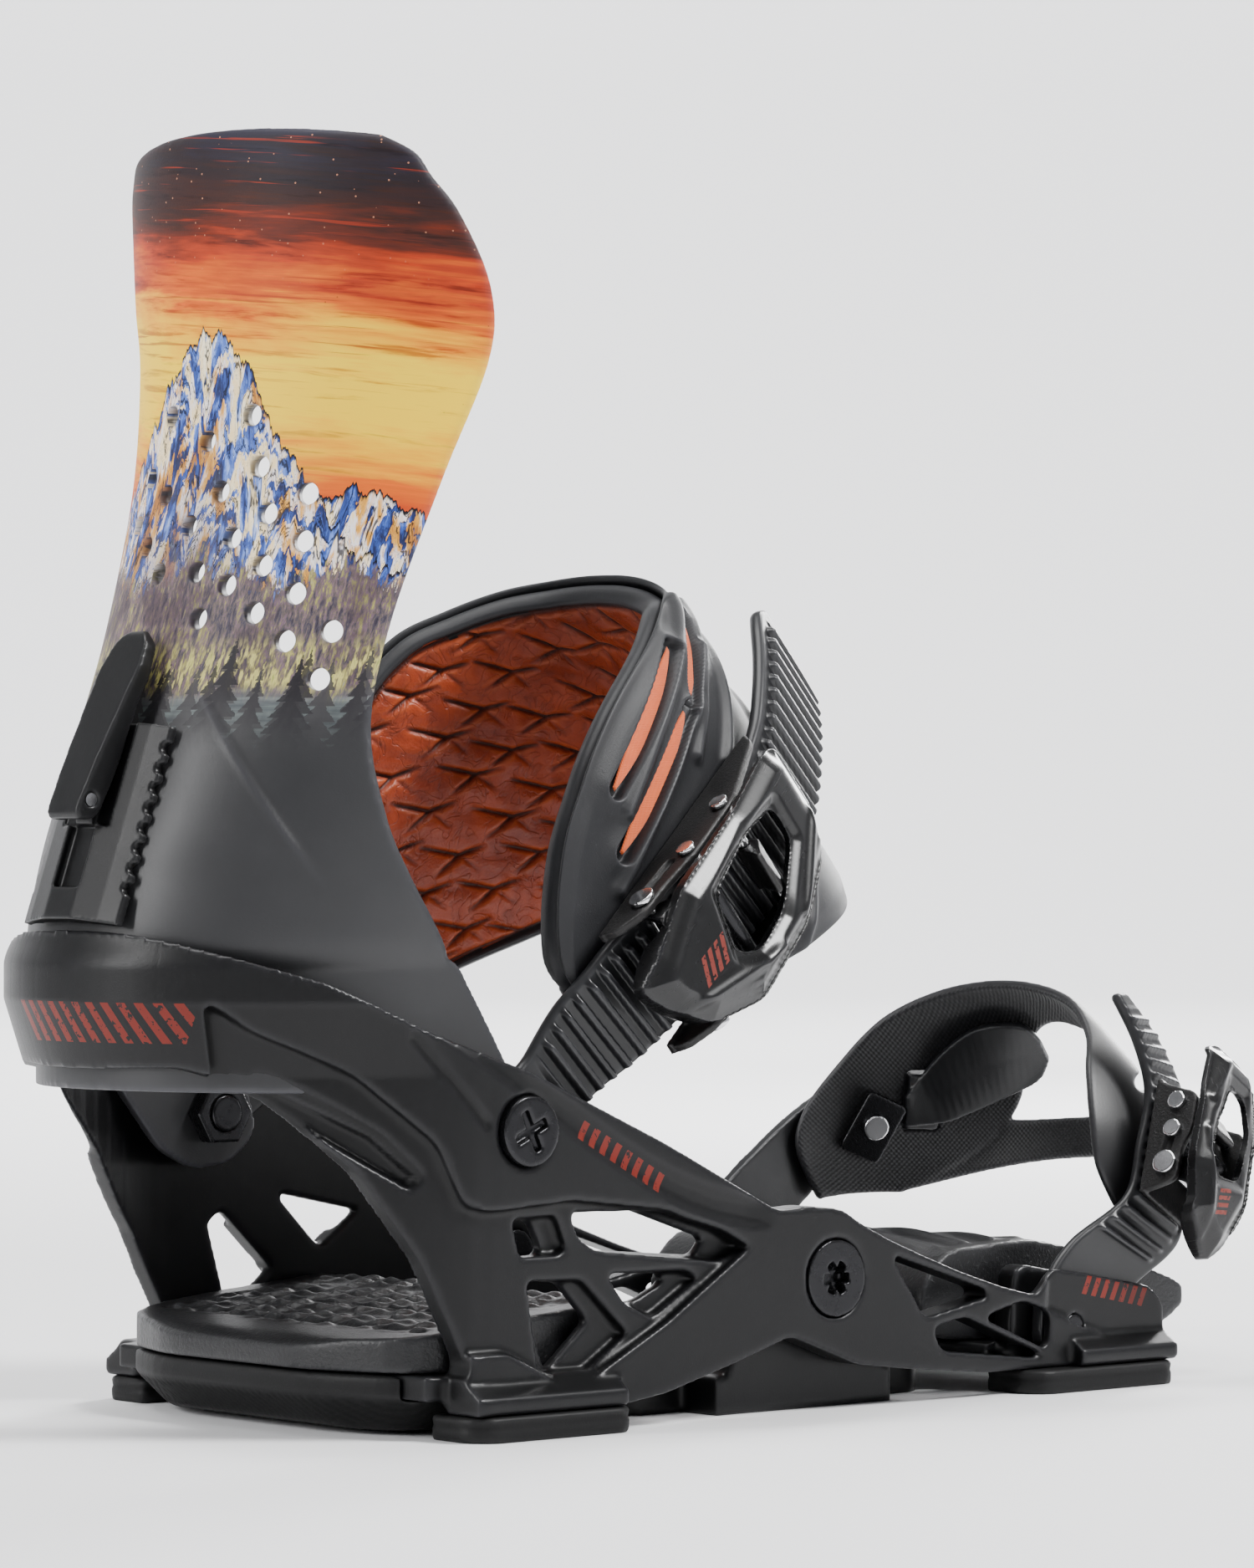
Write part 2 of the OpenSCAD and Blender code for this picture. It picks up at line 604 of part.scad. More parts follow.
module ankle_ladder() color(nylon) {
  in_ankle() mirror([0, 1, 0]) difference() {
    intersection() {
      translate([0, 0, -20]) linear_extrude(60)
        polygon(strap_section(strap_path, 104, strap_t, 28));
      wall(0, 100) polygon(eased(ladder_outline, 4, 3));
    }
    along_y(pivot_r + 0.05, 40, 60, 0, 0);
  }
}

strap_screw_t = 64;
module ankle_strap_far() color(nylon) {
  in_ankle() difference() {
    intersection() {
      translate([0, 0, -20]) linear_extrude(60)
        polygon(strap_section([for (i = [0 : 7]) strap_path[i]], 40, strap_t, 1000));
      wall(0, 100) polygon(eased(far_outline, 4, 3));
    }
    along_y(pivot_r + 0.05, 40, 60, 0, 0);
    along_y(2.5, 40, 70, strap_screw_t, 1);
  }
}

module ankle_strap_screw() color(steel) {
  in_ankle() difference() {
    union() {
      along_y(2.5, 53.3, 57.4, strap_screw_t, 1);
      along_y(5, 57.3, 59, strap_screw_t, 1);
    }
    along_y(1.4, 57.8, 60, strap_screw_t, 1);
  }
}

// ---------------------------------------------------------------- ratchet buckles

// In a buckle's frame X runs up the strap, Y points outwards and Z across the width.
// The ladder's inner face lies at Y = 1.8. Each buckle: half width, the three axles, the two ends of
// its base, and the lever's scale along X, shift along X and scale across.
ankle_buckle = [16.5, [[-26, 6.4], [-9.5, 9], [6.5, 9]], [-37, 33], [1, 0, 1]];
toe_buckle = [12, [[-8.4, 6.2], [0.2, 6.8], [7.4, 6.8]], [-15, 14], [0.7, 4.8, 0.72]];
wall_t = 1.8;
axle_r = 1.3;
lever_height = 14;

// A cylinder across the buckle
module across(r, z0, z1, at) {
  translate([at[0], at[1], z0]) cylinder(r = r, h = z1 - z0);
}

// An outline across the face of a lever, cut along Y
module face_prism(b, p) {
  rotate([-90, 0, 0]) translate([0, 0, -10]) linear_extrude(60)
    polygon(eased([for (q = p) [q[0] * b[3][0] + b[3][1], -q[1] * b[3][2]]], 3));
}

module buckle_base(b) color(gloss) difference() {
  half = b[0];
  back = b[2][0];
  front = b[2][1];
  union() {
    translate([0, 0, -half]) linear_extrude(2 * half)
      polygon([[back, 0.2], [front, 0.2], [front, 1.5], [back, 1.5]]);
    for (s = [-1, 1]) translate([0, 0, s * (half - wall_t / 2) - wall_t / 2]) linear_extrude(wall_t)
      polygon(eased([[back, 0.3], [back + 1, 5], [b[1][0][0] - 4, 9.4], [b[1][0][0] + 4, 9.6],
                     [b[1][1][0], 11.8], [b[1][2][0] + 2, 11.6], [front - 2, 4], [front, 0.3]], 2));
  }
  for (a = b[1]) across(axle_r, -half - 2, half + 2, a);
}

module buckle_rivets(b) color(steel) {
  half = b[0];
  for (i = [0 : 2]) {
    a = b[1][i];
    across(axle_r, -half - 0.6, half + 0.6, a);
    r = i == 0 ? 2.9 : 2.2;
    across(r, half + 0.05, half + 1.25, a);
    across(r, -half - 1.25, -half - 0.05, a);
  }
}

// The sprung catch that holds the ladder's teeth
module buckle_pawl(b) color(black_steel) difference() {
  a = b[1][1];
  w = b[0] - 2.6;
  union() {
    across(2.3, -w, w, a);
    translate([0, 0, -w + 0.6]) linear_extrude(2 * w - 1.2)
      polygon([[a[0] - 2.2, a[1]], [a[0] - 3.4, a[1] - 2.3], [a[0] - 1.4, a[1] - 2.4], [a[0] + 2.2, a[1]]]);
  }
  across(axle_r + 0.05, -w - 1, w + 1, a);
}

lever_face = [[-45, 6], [-22, 15.5], [23, 16.5], [31, 14], [32, -2], [27, -11], [8, -17],
              [-18, -18.5], [-34, -12], [-41, -3]];
finger_opening = [[-15, 8], [3, 10.5], [16, 8], [16, -1], [0, -9], [-12, -10], [-19, -5]];

// The long tightening lever: a shell round a finger opening, on two cheeks
module buckle_lever(b) color(gloss) difference() {
  a = b[1][0];
  k = b[3][0];
  d = b[3][1];
  h = lever_height;
  cheek = b[0] - 3.6;
  union() {
    intersection() {
      translate([0, 0, -40]) linear_extrude(80)
        polygon(eased([[-44 * k + d, h - 4.4], [-45 * k + d, h - 1.5], [-38 * k + d, h + 1.4],
                       [-20 * k + d, h + 2.4], [4 * k + d, h + 2], [25 * k + d, h - 1],
                       [32 * k + d, h - 5], [30 * k + d, h - 5.6], [24 * k + d, h - 3.4],
                       [4 * k + d, h - 0.8], [-20 * k + d, h - 1.2], [-36 * k + d, h - 2.2]], 1.6));
      face_prism(b, lever_face);
    }
    for (s = [-1, 1]) translate([0, 0, s * cheek - 0.9]) {
      translate([a[0], a[1], 0]) cylinder(r = 2.1, h = 1.8);
      linear_extrude(1.8) polygon([[a[0] - 2, a[1]], [a[0] + 2, a[1]], [a[0] + 4.6, h], [a[0] - 4.6, h]]);
    }
  }
  across(axle_r + 0.05, -b[0], b[0], a);
  face_prism(b, finger_opening);
}

// The release tab in the finger opening
module buckle_release(b) color(nylon) difference() {
  a = b[1][2];
  w = b[0] * 0.32;
  union() {
    across(2.3, -w, w, a);
    translate([0, 0, -w]) linear_extrude(2 * w)
      polygon(eased([[a[0] - 2.2, a[1] + 0.6], [a[0] + 2.2, a[1]], [a[0] + 1.8, a[1] + 3],
                     [a[0] - 1, a[1] + 4.8], [a[0] - 4, a[1] + 7], [a[0] - 5.2, a[1] + 6.5],
                     [a[0] - 3.6, a[1] + 4]], 0.8));
  }
  across(axle_r + 0.05, -b[0], b[0], a);
}

// The ankle buckle lies on the near side of the arch
buckle_slope = 11;
module on_ankle_buckle() {
  in_ankle() translate([80, -49.6, 0]) rotate([0, 0, buckle_slope]) mirror([0, 1, 0]) children();
}

module ankle_buckle_base() difference() {
  on_ankle_buckle() buckle_base(ankle_buckle);
  in_ankle() mirror([0, 1, 0]) translate([0, 0, -13.8]) linear_extrude(28.2)
    polygon(strap_room(strap_path, 104));
}
module ankle_buckle_rivets() on_ankle_buckle() buckle_rivets(ankle_buckle);
module ankle_pawl() on_ankle_buckle() buckle_pawl(ankle_buckle);
module ankle_lever() on_ankle_buckle() buckle_lever(ankle_buckle);
module ankle_release() on_ankle_buckle() buckle_release(ankle_buckle);

// ---------------------------------------------------------------- toe strap

// Edges of the toe cap's upper band, from the far side over the toes to the near side
cap_rear = [
  [102, 51, 37], [96, 52, 49], [97, 51, 58], [104, 47, 69], [110, 37, 81], [114, 22, 88], [116, 5, 91],
  [117, -10, 90.5], [115, -24, 87], [110, -34, 80], [102, -42, 72], [97, -48, 61], [96, -51, 50],
  [100, -53, 40]
];
cap_front = [
  [126, 46.5, 38], [138, 39, 45], [145, 31, 53], [147.5, 26, 61.5], [143.5, 20, 72], [138.5, 10, 79.5],
  [132, -4, 82], [128, -18, 80], [122, -29, 77], [120, -37, 74], [121, -44, 66], [119, -49.5, 57],
  [114, -52.5, 48], [109, -53.5, 42]
];
// Edges of its lower band, which passes in front of the toes
low_top = [[132, 43, 50], [143, 34, 55], [149, 20, 56], [149, 0, 57.5], [143, -20, 58],
           [132, -36, 58], [120, -46, 57], [112, -50, 54]];
low_bottom = [[124, 47, 37.5], [141, 37, 42], [148, 20, 45.5], [149.5, 0, 47.5], [144, -21, 48],
              [132, -38, 47], [118, -48, 45], [106, -53, 42]];
// The slot that lets the far strap through to the cap's inner side
module in_tongue() {
  translate([126.5, 38.9, 60.5]) rotate([15, 0, -27]) children();
}
module toe_cap() color(nylon) difference() {
  union() {
    band(cap_rear, cap_front, 48, 2.2, 1.4);
    band(low_top, low_bottom, 28, 2.2, 1);
  }
  translate([117, -45, 68]) rotate([0, 90, 45]) cylinder(r = 2, h = 20, center = true, $fn = 16);
  in_tongue() translate([-4.6, -8, -7.6]) cube([9.2, 16, 15.2]);
}

strap_mid = rail_in + 3.2;
// Edges of the far strap, from the slot in the front block up to the toe cap
far_rear = [[64, strap_mid + 1.5, 22], [66, strap_mid + 1, 32], [78, 56.6, 44], [96, 56, 57],
            [110, 53.6, 65], [120, 49.6, 68], [127, 46.4, 69]];
far_front = [[83, strap_mid + 1.5, 15], [87, strap_mid + 1, 24], [98, 57, 34], [111, 55.2, 45],
             [120, 52, 50], [127, 48.6, 53], [133, 45.4, 55]];
// Edges of the tongue that it ends in, on the cap's inner side
tongue_up = [[121.5, 40, 62], [124.5, 37.6, 67], [125.5, 31, 73.3], [127, 22.5, 78.8], [128.5, 14, 80.6],
             [132, 9, 80.2], [137.5, 9, 76.5]];
tongue_low = [[122.5, 41.6, 54.5], [131, 36, 55.5], [136.2, 32.2, 58.2], [140.4, 27.6, 61],
              [143.2, 22, 64], [145.2, 16.5, 67.5], [143, 11.5, 72]];
module toe_strap_far() color(nylon) difference() {
  union() {
    wall(strap_mid - 1.6, strap_mid + 1.6)
      polygon(eased([[69, 10], [75, 6], [83, 6.4], [86, 12], [84, 20], [66, 26], [64, 20]], 3));
    band(far_rear, far_front, 16, 3);
    band(tongue_up, tongue_low, 20, 2);
    in_tongue() translate([-4, -1.4, -7]) cube([8, 8, 14]);
  }
  along_y(toe_r + 0.05, 40, 70, toe_x, toe_z);
}

// Edges of the near ladder, from the slot up through the buckle to its free tip
near_rear = [
  [71, -(strap_mid + 1.5), 24], [80, -(strap_mid + 1.5), 33], [96, -60.6, 43], [103.5, -58, 55],
  [109.5, -55, 67], [109.8, -51, 78.5], [107, -46.5, 89.4]
];
near_front = [
  [92, -(strap_mid + 1.5), 17], [102, -(strap_mid + 1.5), 23], [113.5, -60.6, 32], [120, -55.6, 46],
  [125.3, -51.6, 62], [121, -47.6, 77], [112.2, -44.6, 89.4]
];
module toe_ladder() color(nylon) difference() {
  union() {
    wall(-strap_mid - 1.6, -strap_mid + 1.6)
      polygon(eased([[69, 10], [76, 5.8], [84, 6.6], [92, 13], [97, 20], [78, 30], [70, 22]], 3));
    band(near_front, near_rear, 40, 2.6);
  }
  along_y(toe_r + 0.05, -70, -40, toe_x, toe_z);
}

// The square plate and screw on the cap's inner side
module on_cap() {
  translate([115.1, 45.4, 55.4]) rotate([16, 0, -23.6]) rotate([0, 25, 0]) children();
}
module toe_cap_plate() color(black_steel) on_cap() difference() {
  wall(-3.4, -1.7) polygon(eased([[-5.6, -8.4], [5.6, -8.4], [5.6, 7.6], [-5.6, 7.6]], 1.6));
  along_y(2.5, -4, -1, 0, 0);
}
module toe_cap_bolt() color(steel) on_cap() {
  along_y(2.5, -3.4, -1.8, 0, 0);
  along_y(3.2, -4.8, -3.4, 0, 0);
}

// The toe buckle stands on the near side, facing outwards and leaning forwards
toe_yaw = 14;
toe_lean = 29;
toe_tuck = 7;
module on_toe_buckle() {
  translate([112.4, -59, 51.6]) rotate([0, 0, toe_yaw]) rotate([-toe_tuck, 0, 0])
    rotate([0, toe_lean, 0]) rotate(180, [1, 0, 1]) children();
}

module toe_buckle_base() on_toe_buckle() buckle_base(toe_buckle);
module toe_buckle_rivets() on_toe_buckle() buckle_rivets(toe_buckle);
module toe_pawl() on_toe_buckle() buckle_pawl(toe_buckle);
module toe_lever() on_toe_buckle() buckle_lever(toe_buckle);
module toe_release() on_toe_buckle() buckle_release(toe_buckle);

// ---------------------------------------------------------------- output

hanger_plate();
mounting_disc();
kingpin(-1);  // kingpin_near
kingpin(1);  // kingpin_far
kingpin_bush(-1);  // kingpin_bush_near
kingpin_bush(1);  // kingpin_bush_far
chassis();
foot_pad(-102, -57, -1);  // foot_pad_rear_near
foot_pad(-102, -57, 1);  // foot_pad_rear_far
foot_pad(60, 108, -1);  // foot_pad_front_near
foot_pad(60, 108, 1);  // foot_pad_front_far
heel_base();
heel_footbed();
toe_footbed();
pivot_bolt(-1);  // pivot_bolt_near
pivot_bolt(1);  // pivot_bolt_far
pivot_nut(-1);  // pivot_nut_near
pivot_nut(1);  // pivot_nut_far
toe_bolt(-1);  // toe_bolt_near
toe_bolt(1);  // toe_bolt_far
highback_shell();
highback_pad();
lean_block();
lean_lever();
lean_pin();
ankle_liner();
ankle_exo();
ankle_inlay();
ankle_strap_far();
ankle_strap_screw();
ankle_ladder();
ankle_buckle_base();
ankle_buckle_rivets();
ankle_pawl();
ankle_lever();
ankle_release();
toe_cap();
toe_strap_far();
toe_cap_plate();
toe_cap_bolt();
toe_ladder();
toe_buckle_base();
toe_buckle_rivets();
toe_pawl();
toe_lever();
toe_release();
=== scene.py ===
import json
import math
from contextlib import contextmanager

import bmesh
import bpy
import numpy as np
from mathutils import Matrix, Vector


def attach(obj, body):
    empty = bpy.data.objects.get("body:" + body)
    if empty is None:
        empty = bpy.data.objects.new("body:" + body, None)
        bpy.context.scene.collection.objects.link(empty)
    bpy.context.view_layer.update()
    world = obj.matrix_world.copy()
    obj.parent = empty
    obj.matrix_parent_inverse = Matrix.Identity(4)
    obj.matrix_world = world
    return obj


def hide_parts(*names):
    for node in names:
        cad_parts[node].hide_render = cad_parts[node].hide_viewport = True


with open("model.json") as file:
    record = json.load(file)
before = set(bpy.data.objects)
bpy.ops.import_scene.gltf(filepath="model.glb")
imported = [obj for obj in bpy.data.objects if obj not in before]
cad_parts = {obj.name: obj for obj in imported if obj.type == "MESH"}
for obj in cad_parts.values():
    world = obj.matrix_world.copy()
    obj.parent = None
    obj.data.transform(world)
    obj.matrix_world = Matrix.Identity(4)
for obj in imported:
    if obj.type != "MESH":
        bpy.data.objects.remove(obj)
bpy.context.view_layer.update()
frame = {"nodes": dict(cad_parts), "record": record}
NODE = frame["nodes"]
MM = 0.001

# ---------------------------------------------------------------- shader graphs


class Val:
    """A value in a shader graph, with arithmetic."""

    def __init__(self, g, socket):
        self.g, self.s = g, socket

    def __add__(self, o): return self.g.math("ADD", self, o)
    def __radd__(self, o): return self.g.math("ADD", o, self)
    def __sub__(self, o): return self.g.math("SUBTRACT", self, o)
    def __rsub__(self, o): return self.g.math("SUBTRACT", o, self)
    def __mul__(self, o): return self.g.math("MULTIPLY", self, o)
    def __rmul__(self, o): return self.g.math("MULTIPLY", o, self)
    def __truediv__(self, o): return self.g.math("DIVIDE", self, o)
    def __lt__(self, o): return self.g.math("LESS_THAN", self, o)
    def __gt__(self, o): return self.g.math("GREATER_THAN", self, o)
    def __abs__(self): return self.g.math("ABSOLUTE", self)


class Graph:
    def __init__(self, name):
        self.mat = bpy.data.materials.new(name)
        self.mat.use_nodes = True
        self.tree = self.mat.node_tree
        self.bsdf = self.tree.nodes["Principled BSDF"]
        self._place = None

    def put(self, socket, value):
        if isinstance(value, Val):
            self.tree.links.new(value.s, socket)
        else:
            socket.default_value = value

    def node(self, kind, inputs, out=0, **settings):
        """One output of a new node."""
        n = self.tree.nodes.new("ShaderNode" + kind)
        for k, v in settings.items():
            setattr(n, k, v)
        for k, v in inputs.items():
            self.put(n.inputs[k], v)
        return Val(self, n.outputs[out])

    def math(self, op, *args):
        return self.node("Math", dict(enumerate(args)), operation=op)

    def place(self):
        """The point in the part's frame, in millimetres."""
        if self._place is None:
            metres = self.node("TexCoord", {}, "Object")
            self._place = self.node("VectorMath", {0: metres, "Scale": 1000.0}, operation="SCALE")
        return self._place

    def attribute(self, name, vector=False):
        return self.node("Attribute", {}, "Vector" if vector else "Fac", attribute_name=name)

    def split(self, v):
        x = self.node("SeparateXYZ", {0: v})
        return [Val(self, o) for o in x.s.node.outputs]

    def vec(self, x, y, z=0.0):
        return self.node("CombineXYZ", {0: x, 1: y, 2: z})

    def noise(self, v, scale, detail=2.0, rough=0.5, distort=0.0):
        return self.node("TexNoise", {"Vector": v, "Scale": scale, "Detail": detail, "Roughness": rough,
                                      "Distortion": distort}, "Fac")

    def drawn(self, x, y, seed, *more):
        """Noise over the plane of x and y."""
        return self.noise(self.vec(x, y, seed), 1.0, *more)

    def cells(self, v, scale):
        return self.node("TexVoronoi", {"Vector": v, "Scale": scale}, "Distance")

    def smooth(self, v, lo, hi):
        return self.node("MapRange", {"Value": v, "From Min": lo, "From Max": hi}, "Result",
                         interpolation_type="SMOOTHSTEP")

    def ramp(self, v, stops, kind="LINEAR"):
        c = self.node("ValToRGB", {0: v})
        r = c.s.node.color_ramp
        r.interpolation = kind
        while len(r.elements) < len(stops):
            r.elements.new(0.5)
        for e, (pos, colour) in zip(r.elements, stops):
            e.position = pos
            e.color = tint(colour)
        return c

    def mix(self, fac, a, b, blend="MIX"):
        return self.node("Mix", {0: fac, 6: tint(a), 7: tint(b)}, 2, data_type="RGBA", blend_type=blend)

    def bump(self, height, distance):
        """A normal for relief of this depth in millimetres."""
        return self.node("Bump", {"Strength": 1.0, "Distance": distance * MM, "Height": height})

    def finish(self, **inputs):
        names = {"base": "Base Color", "rough": "Roughness", "metal": "Metallic", "spec": "Specular IOR Level",
                 "coat": "Coat Weight", "coat_rough": "Coat Roughness", "normal": "Normal",
                 "sheen": "Sheen Weight"}
        for k, v in inputs.items():
            socket = self.bsdf.inputs[names[k]]
            self.put(socket, tint(v) if k == "base" else v)
        return self.mat


def tint(c):
    """A colour from the graph, or one given as linear RGB or as a hex string in sRGB."""
    if isinstance(c, Val):
        return c
    if isinstance(c, str):
        rgb = [int(c[i:i + 2], 16) / 255 for i in (0, 2, 4)]
        c = [x / 12.92 if x <= 0.04045 else ((x + 0.055) / 1.055) ** 2.4 for x in rgb]
    return (*list(c)[:3], 1.0)


def plastic(name, dark, light, rough, grain, relief, wear, spec, pale=None, marks=None):
    """Moulded plastic or rubber: a fine grain, broad unevenness, paler edges (rubbed wear and a painted highlight),
    and marks over its colour.
    """
    g = Graph(name)
    p = g.place()
    broad = g.noise(p, 0.045, 3.0, 0.6)
    fine = g.noise(p, grain, 3.0, 0.65)
    speck = g.smooth(g.noise(p, 0.9, 4.0, 0.7), 0.60, 0.72)
    edge = g.attribute("edge")
    colour = g.mix(broad, dark, light)
    # Outer edges are paled: rubbed wear and a painted highlight where light would catch them
    colour = g.mix(edge * wear, colour, pale or [2.6 * x + 0.02 for x in light])
    colour = g.mix(speck * 0.10, colour, [2.0 * x + 0.01 for x in light])
    if marks:
        colour = marks(g, colour)
    r = rough + (fine - 0.5) * 0.12 + (broad - 0.5) * 0.14 - edge * 0.06
    return g.finish(base=colour, rough=r, spec=spec, normal=g.bump(fine * 0.7 + speck * 0.3, relief))


def metal(name, colour, rough, metallic=1.0):
    """Metal with fine scratches round it and paler edges, which are a painted highlight."""
    g = Graph(name)
    p = g.place()
    x, y, z = g.split(p)
    scratch = g.drawn(x * 0.6, y * 5.0, z * 0.6, 4.0, 0.6)
    broad = g.noise(p, 0.2, 3.0, 0.6)
    edge = g.attribute("edge")
    base = g.mix(broad * 0.5, colour, [0.6 * c for c in colour])
    # Paler edges: a painted highlight
    base = g.mix(edge * 0.6, base, [min(1, 1.5 * c + 0.04) for c in colour])
    return g.finish(base=base, rough=rough + (scratch - 0.5) * 0.15, metal=metallic,
                    normal=g.bump(scratch, 0.01))


# ---------------------------------------------------------------- mesh tools


def link(name, data):
    o = bpy.data.objects.new(name, data)
    bpy.context.scene.collection.objects.link(o)
    return o


def add(name, verts, faces):
    mesh = bpy.data.meshes.new(name)
    mesh.from_pydata((np.asarray(verts, float) * MM).tolist(), [], np.asarray(faces).tolist())
    mesh.update()
    return link(name, mesh)


@contextmanager
def editing(o):
    """The object's mesh as a bmesh, which is written back at the end."""
    bm = bmesh.new()
    bm.from_mesh(o.data)
    yield bm
    bm.to_mesh(o.data)
    bm.free()


def points(o):
    co = np.empty(len(o.data.vertices) * 3)
    o.data.vertices.foreach_get("co", co)
    return co.reshape(-1, 3) / MM


def normals(o):
    no = np.empty(len(o.data.vertices) * 3)
    o.data.vertex_normals.foreach_get("vector", no)
    return no.reshape(-1, 3)


def move_to(o, co):
    o.data.vertices.foreach_set("co", (np.asarray(co) * MM).ravel())
    o.data.update()


def set_attribute(o, name, values):
    values = np.asarray(values, np.float32)
    kind = "FLOAT" if values.ndim == 1 else "FLOAT_VECTOR"
    a = o.data.attributes.get(name) or o.data.attributes.new(name, kind, "POINT")
    a.data.foreach_set("value" if values.ndim == 1 else "vector", values.ravel())


def neighbours(o):
    """The two ends of each edge, and a mean over each point's edges of a value for either end."""
    e = np.empty(len(o.data.edges) * 2, int)
    o.data.edges.foreach_get("vertices", e)
    a, b = e.reshape(-1, 2).T
    n = len(o.data.vertices)
    count = np.maximum(np.bincount(e, minlength=n), 1)
    return a, b, lambda at_a, at_b: (np.bincount(a, at_a, n) + np.bincount(b, at_b, n)) / count


def mark_edges(o, gain=5.0):
    """Stores in "edge" how far each point is on an outer corner, from 0 to 1."""
    co, no = points(o), normals(o)
    a, b, mean = neighbours(o)
    length = np.linalg.norm(co[a] - co[b], axis=1)
    lap = np.stack([mean(c[b], c[a]) for c in co.T], 1) - co
    h = -(lap * no).sum(1) / np.maximum(mean(length, length), 1e-6)
    for _ in range(2):
        h = 0.5 * h + 0.5 * mean(h[b], h[a])
    set_attribute(o, "edge", np.clip(h * gain, 0, 1))


def mark_creases(o):
    """Stores in "deep" how far each point lies below the surface round it, from 0 to 1."""
    co, no = points(o), normals(o)
    a, b, mean = neighbours(o)
    wide = co.T
    for _ in range(14):
        wide = [mean(c[b], c[a]) for c in wide]
    set_attribute(o, "deep", np.clip(((np.stack(wide, 1) - co) * no).sum(1) * 2.6, 0, 1))


def shade(o):
    o.data.polygons.foreach_set("use_smooth", np.ones(len(o.data.polygons), bool))
    o.data.update()
    return o


def tidy(o, weld=None):
    """Welds points closer than weld, and turns every face outwards."""
    with editing(o) as bm:
        if weld:
            bmesh.ops.remove_doubles(bm, verts=bm.verts, dist=weld * MM)
            bmesh.ops.dissolve_degenerate(bm, dist=1e-7, edges=bm.edges)
        bmesh.ops.recalc_face_normals(bm, faces=bm.faces)
    return shade(o)


def baked(o):
    """Applies every modifier."""
    dg = bpy.context.evaluated_depsgraph_get()
    mesh = bpy.data.meshes.new_from_object(o.evaluated_get(dg))
    o.modifiers.clear()
    old = o.data
    o.data = mesh
    bpy.data.meshes.remove(old)
    return o


def rounded(o, voxel, passes):
    """Rebuilds the solid from small cells, so that its edges can be eased like a moulding's."""
    m = o.modifiers.new("cells", "REMESH")
    m.mode = "VOXEL"
    m.voxel_size = voxel * MM * 1.0
    o.modifiers.new("ease", "SMOOTH").iterations = passes
    return shade(baked(o))


def copy_of(node, name):
    o = link(name, NODE[node].data.copy())
    o.data.materials.clear()
    return o


def join(objects, name):
    """One object of several, without a boolean."""
    bm = bmesh.new()
    for o in objects:
        bm.from_mesh(o.data)
        bpy.data.objects.remove(o)
    mesh = bpy.data.meshes.new(name)
    bm.to_mesh(mesh)
    bm.free()
    return link(name, mesh)


def keep_below(o, z):
    """Cuts off all that is above z, and caps the rest."""
    with editing(o) as bm:
        bmesh.ops.remove_doubles(bm, verts=bm.verts, dist=1e-6)
        cut = bmesh.ops.bisect_plane(bm, geom=bm.verts[:] + bm.edges[:] + bm.faces[:], clear_outer=True,
                                     plane_co=(0, 0, z * MM), plane_no=(0, 0, 1))
        edges = [e for e in cut["geom_cut"] if isinstance(e, bmesh.types.BMEdge)]
        bmesh.ops.holes_fill(bm, edges=edges, sides=0)
    return o


def cut_by(o, cutter):
    m = o.modifiers.new("cut", "BOOLEAN")
    m.operation = "DIFFERENCE"
    m.solver = "EXACT"
    m.object = cutter
    baked(o)
    bpy.data.objects.remove(cutter)
    return shade(o)


def rod(name, a, b, r, sides=32):
    """A closed rod between two points."""
    a, b = np.array(a, float), np.array(b, float)
    d = (b - a) / np.linalg.norm(b - a)
    x = np.cross(d, [0.3, 0.2, 1.0])
    x /= np.linalg.norm(x)
    y = np.cross(d, x)
    q = np.linspace(0, 2 * math.pi, sides, endpoint=False)
    ring = r * (np.outer(np.cos(q), x) + np.outer(np.sin(q), y))
    verts = np.concatenate([a + ring, b + ring])
    faces = [[i, (i + 1) % sides, sides + (i + 1) % sides, sides + i] for i in range(sides)]
    o = add(name, verts, faces)
    with editing(o) as bm:
        bmesh.ops.holes_fill(bm, edges=bm.edges, sides=0)
        bmesh.ops.recalc_face_normals(bm, faces=bm.faces)
    return o


def through(p, n):
    """n + 1 points of the smooth curve through p."""
    p = np.asarray(p, float)
    m = len(p) - 1
    u = np.linspace(0, m, n + 1)
    i = np.minimum(u.astype(int), m - 1)
    t = (u - i).reshape(-1, *[1] * (p.ndim - 1))
    a, b, c, d = p[np.maximum(i - 1, 0)], p[i], p[i + 1], p[np.minimum(i + 2, m)]
    return 0.5 * (2 * b + (c - a) * t + (2 * a - 5 * b + 4 * c - d) * t ** 2 + (3 * b - a - 3 * c + d) * t ** 3)


def ends_dense(n, length, r, extra=5):
    """Values from 0 to 1 that are close together within r of both ends."""
    near = r / length * (1 - np.cos(np.linspace(0, math.pi / 2, extra + 1)))
    middle = np.linspace(r / length, 1 - r / length, n)
    return np.concatenate([near[:-1], middle, 1 - near[:-1][::-1]])


def run_along(p):
    """Distance along a line of points, from its first."""
    return np.concatenate([[0], np.cumsum(np.linalg.norm(np.diff(p, axis=0), axis=1))])


def unit(v):
    return v / np.maximum(np.linalg.norm(v, axis=-1, keepdims=True), 1e-9)


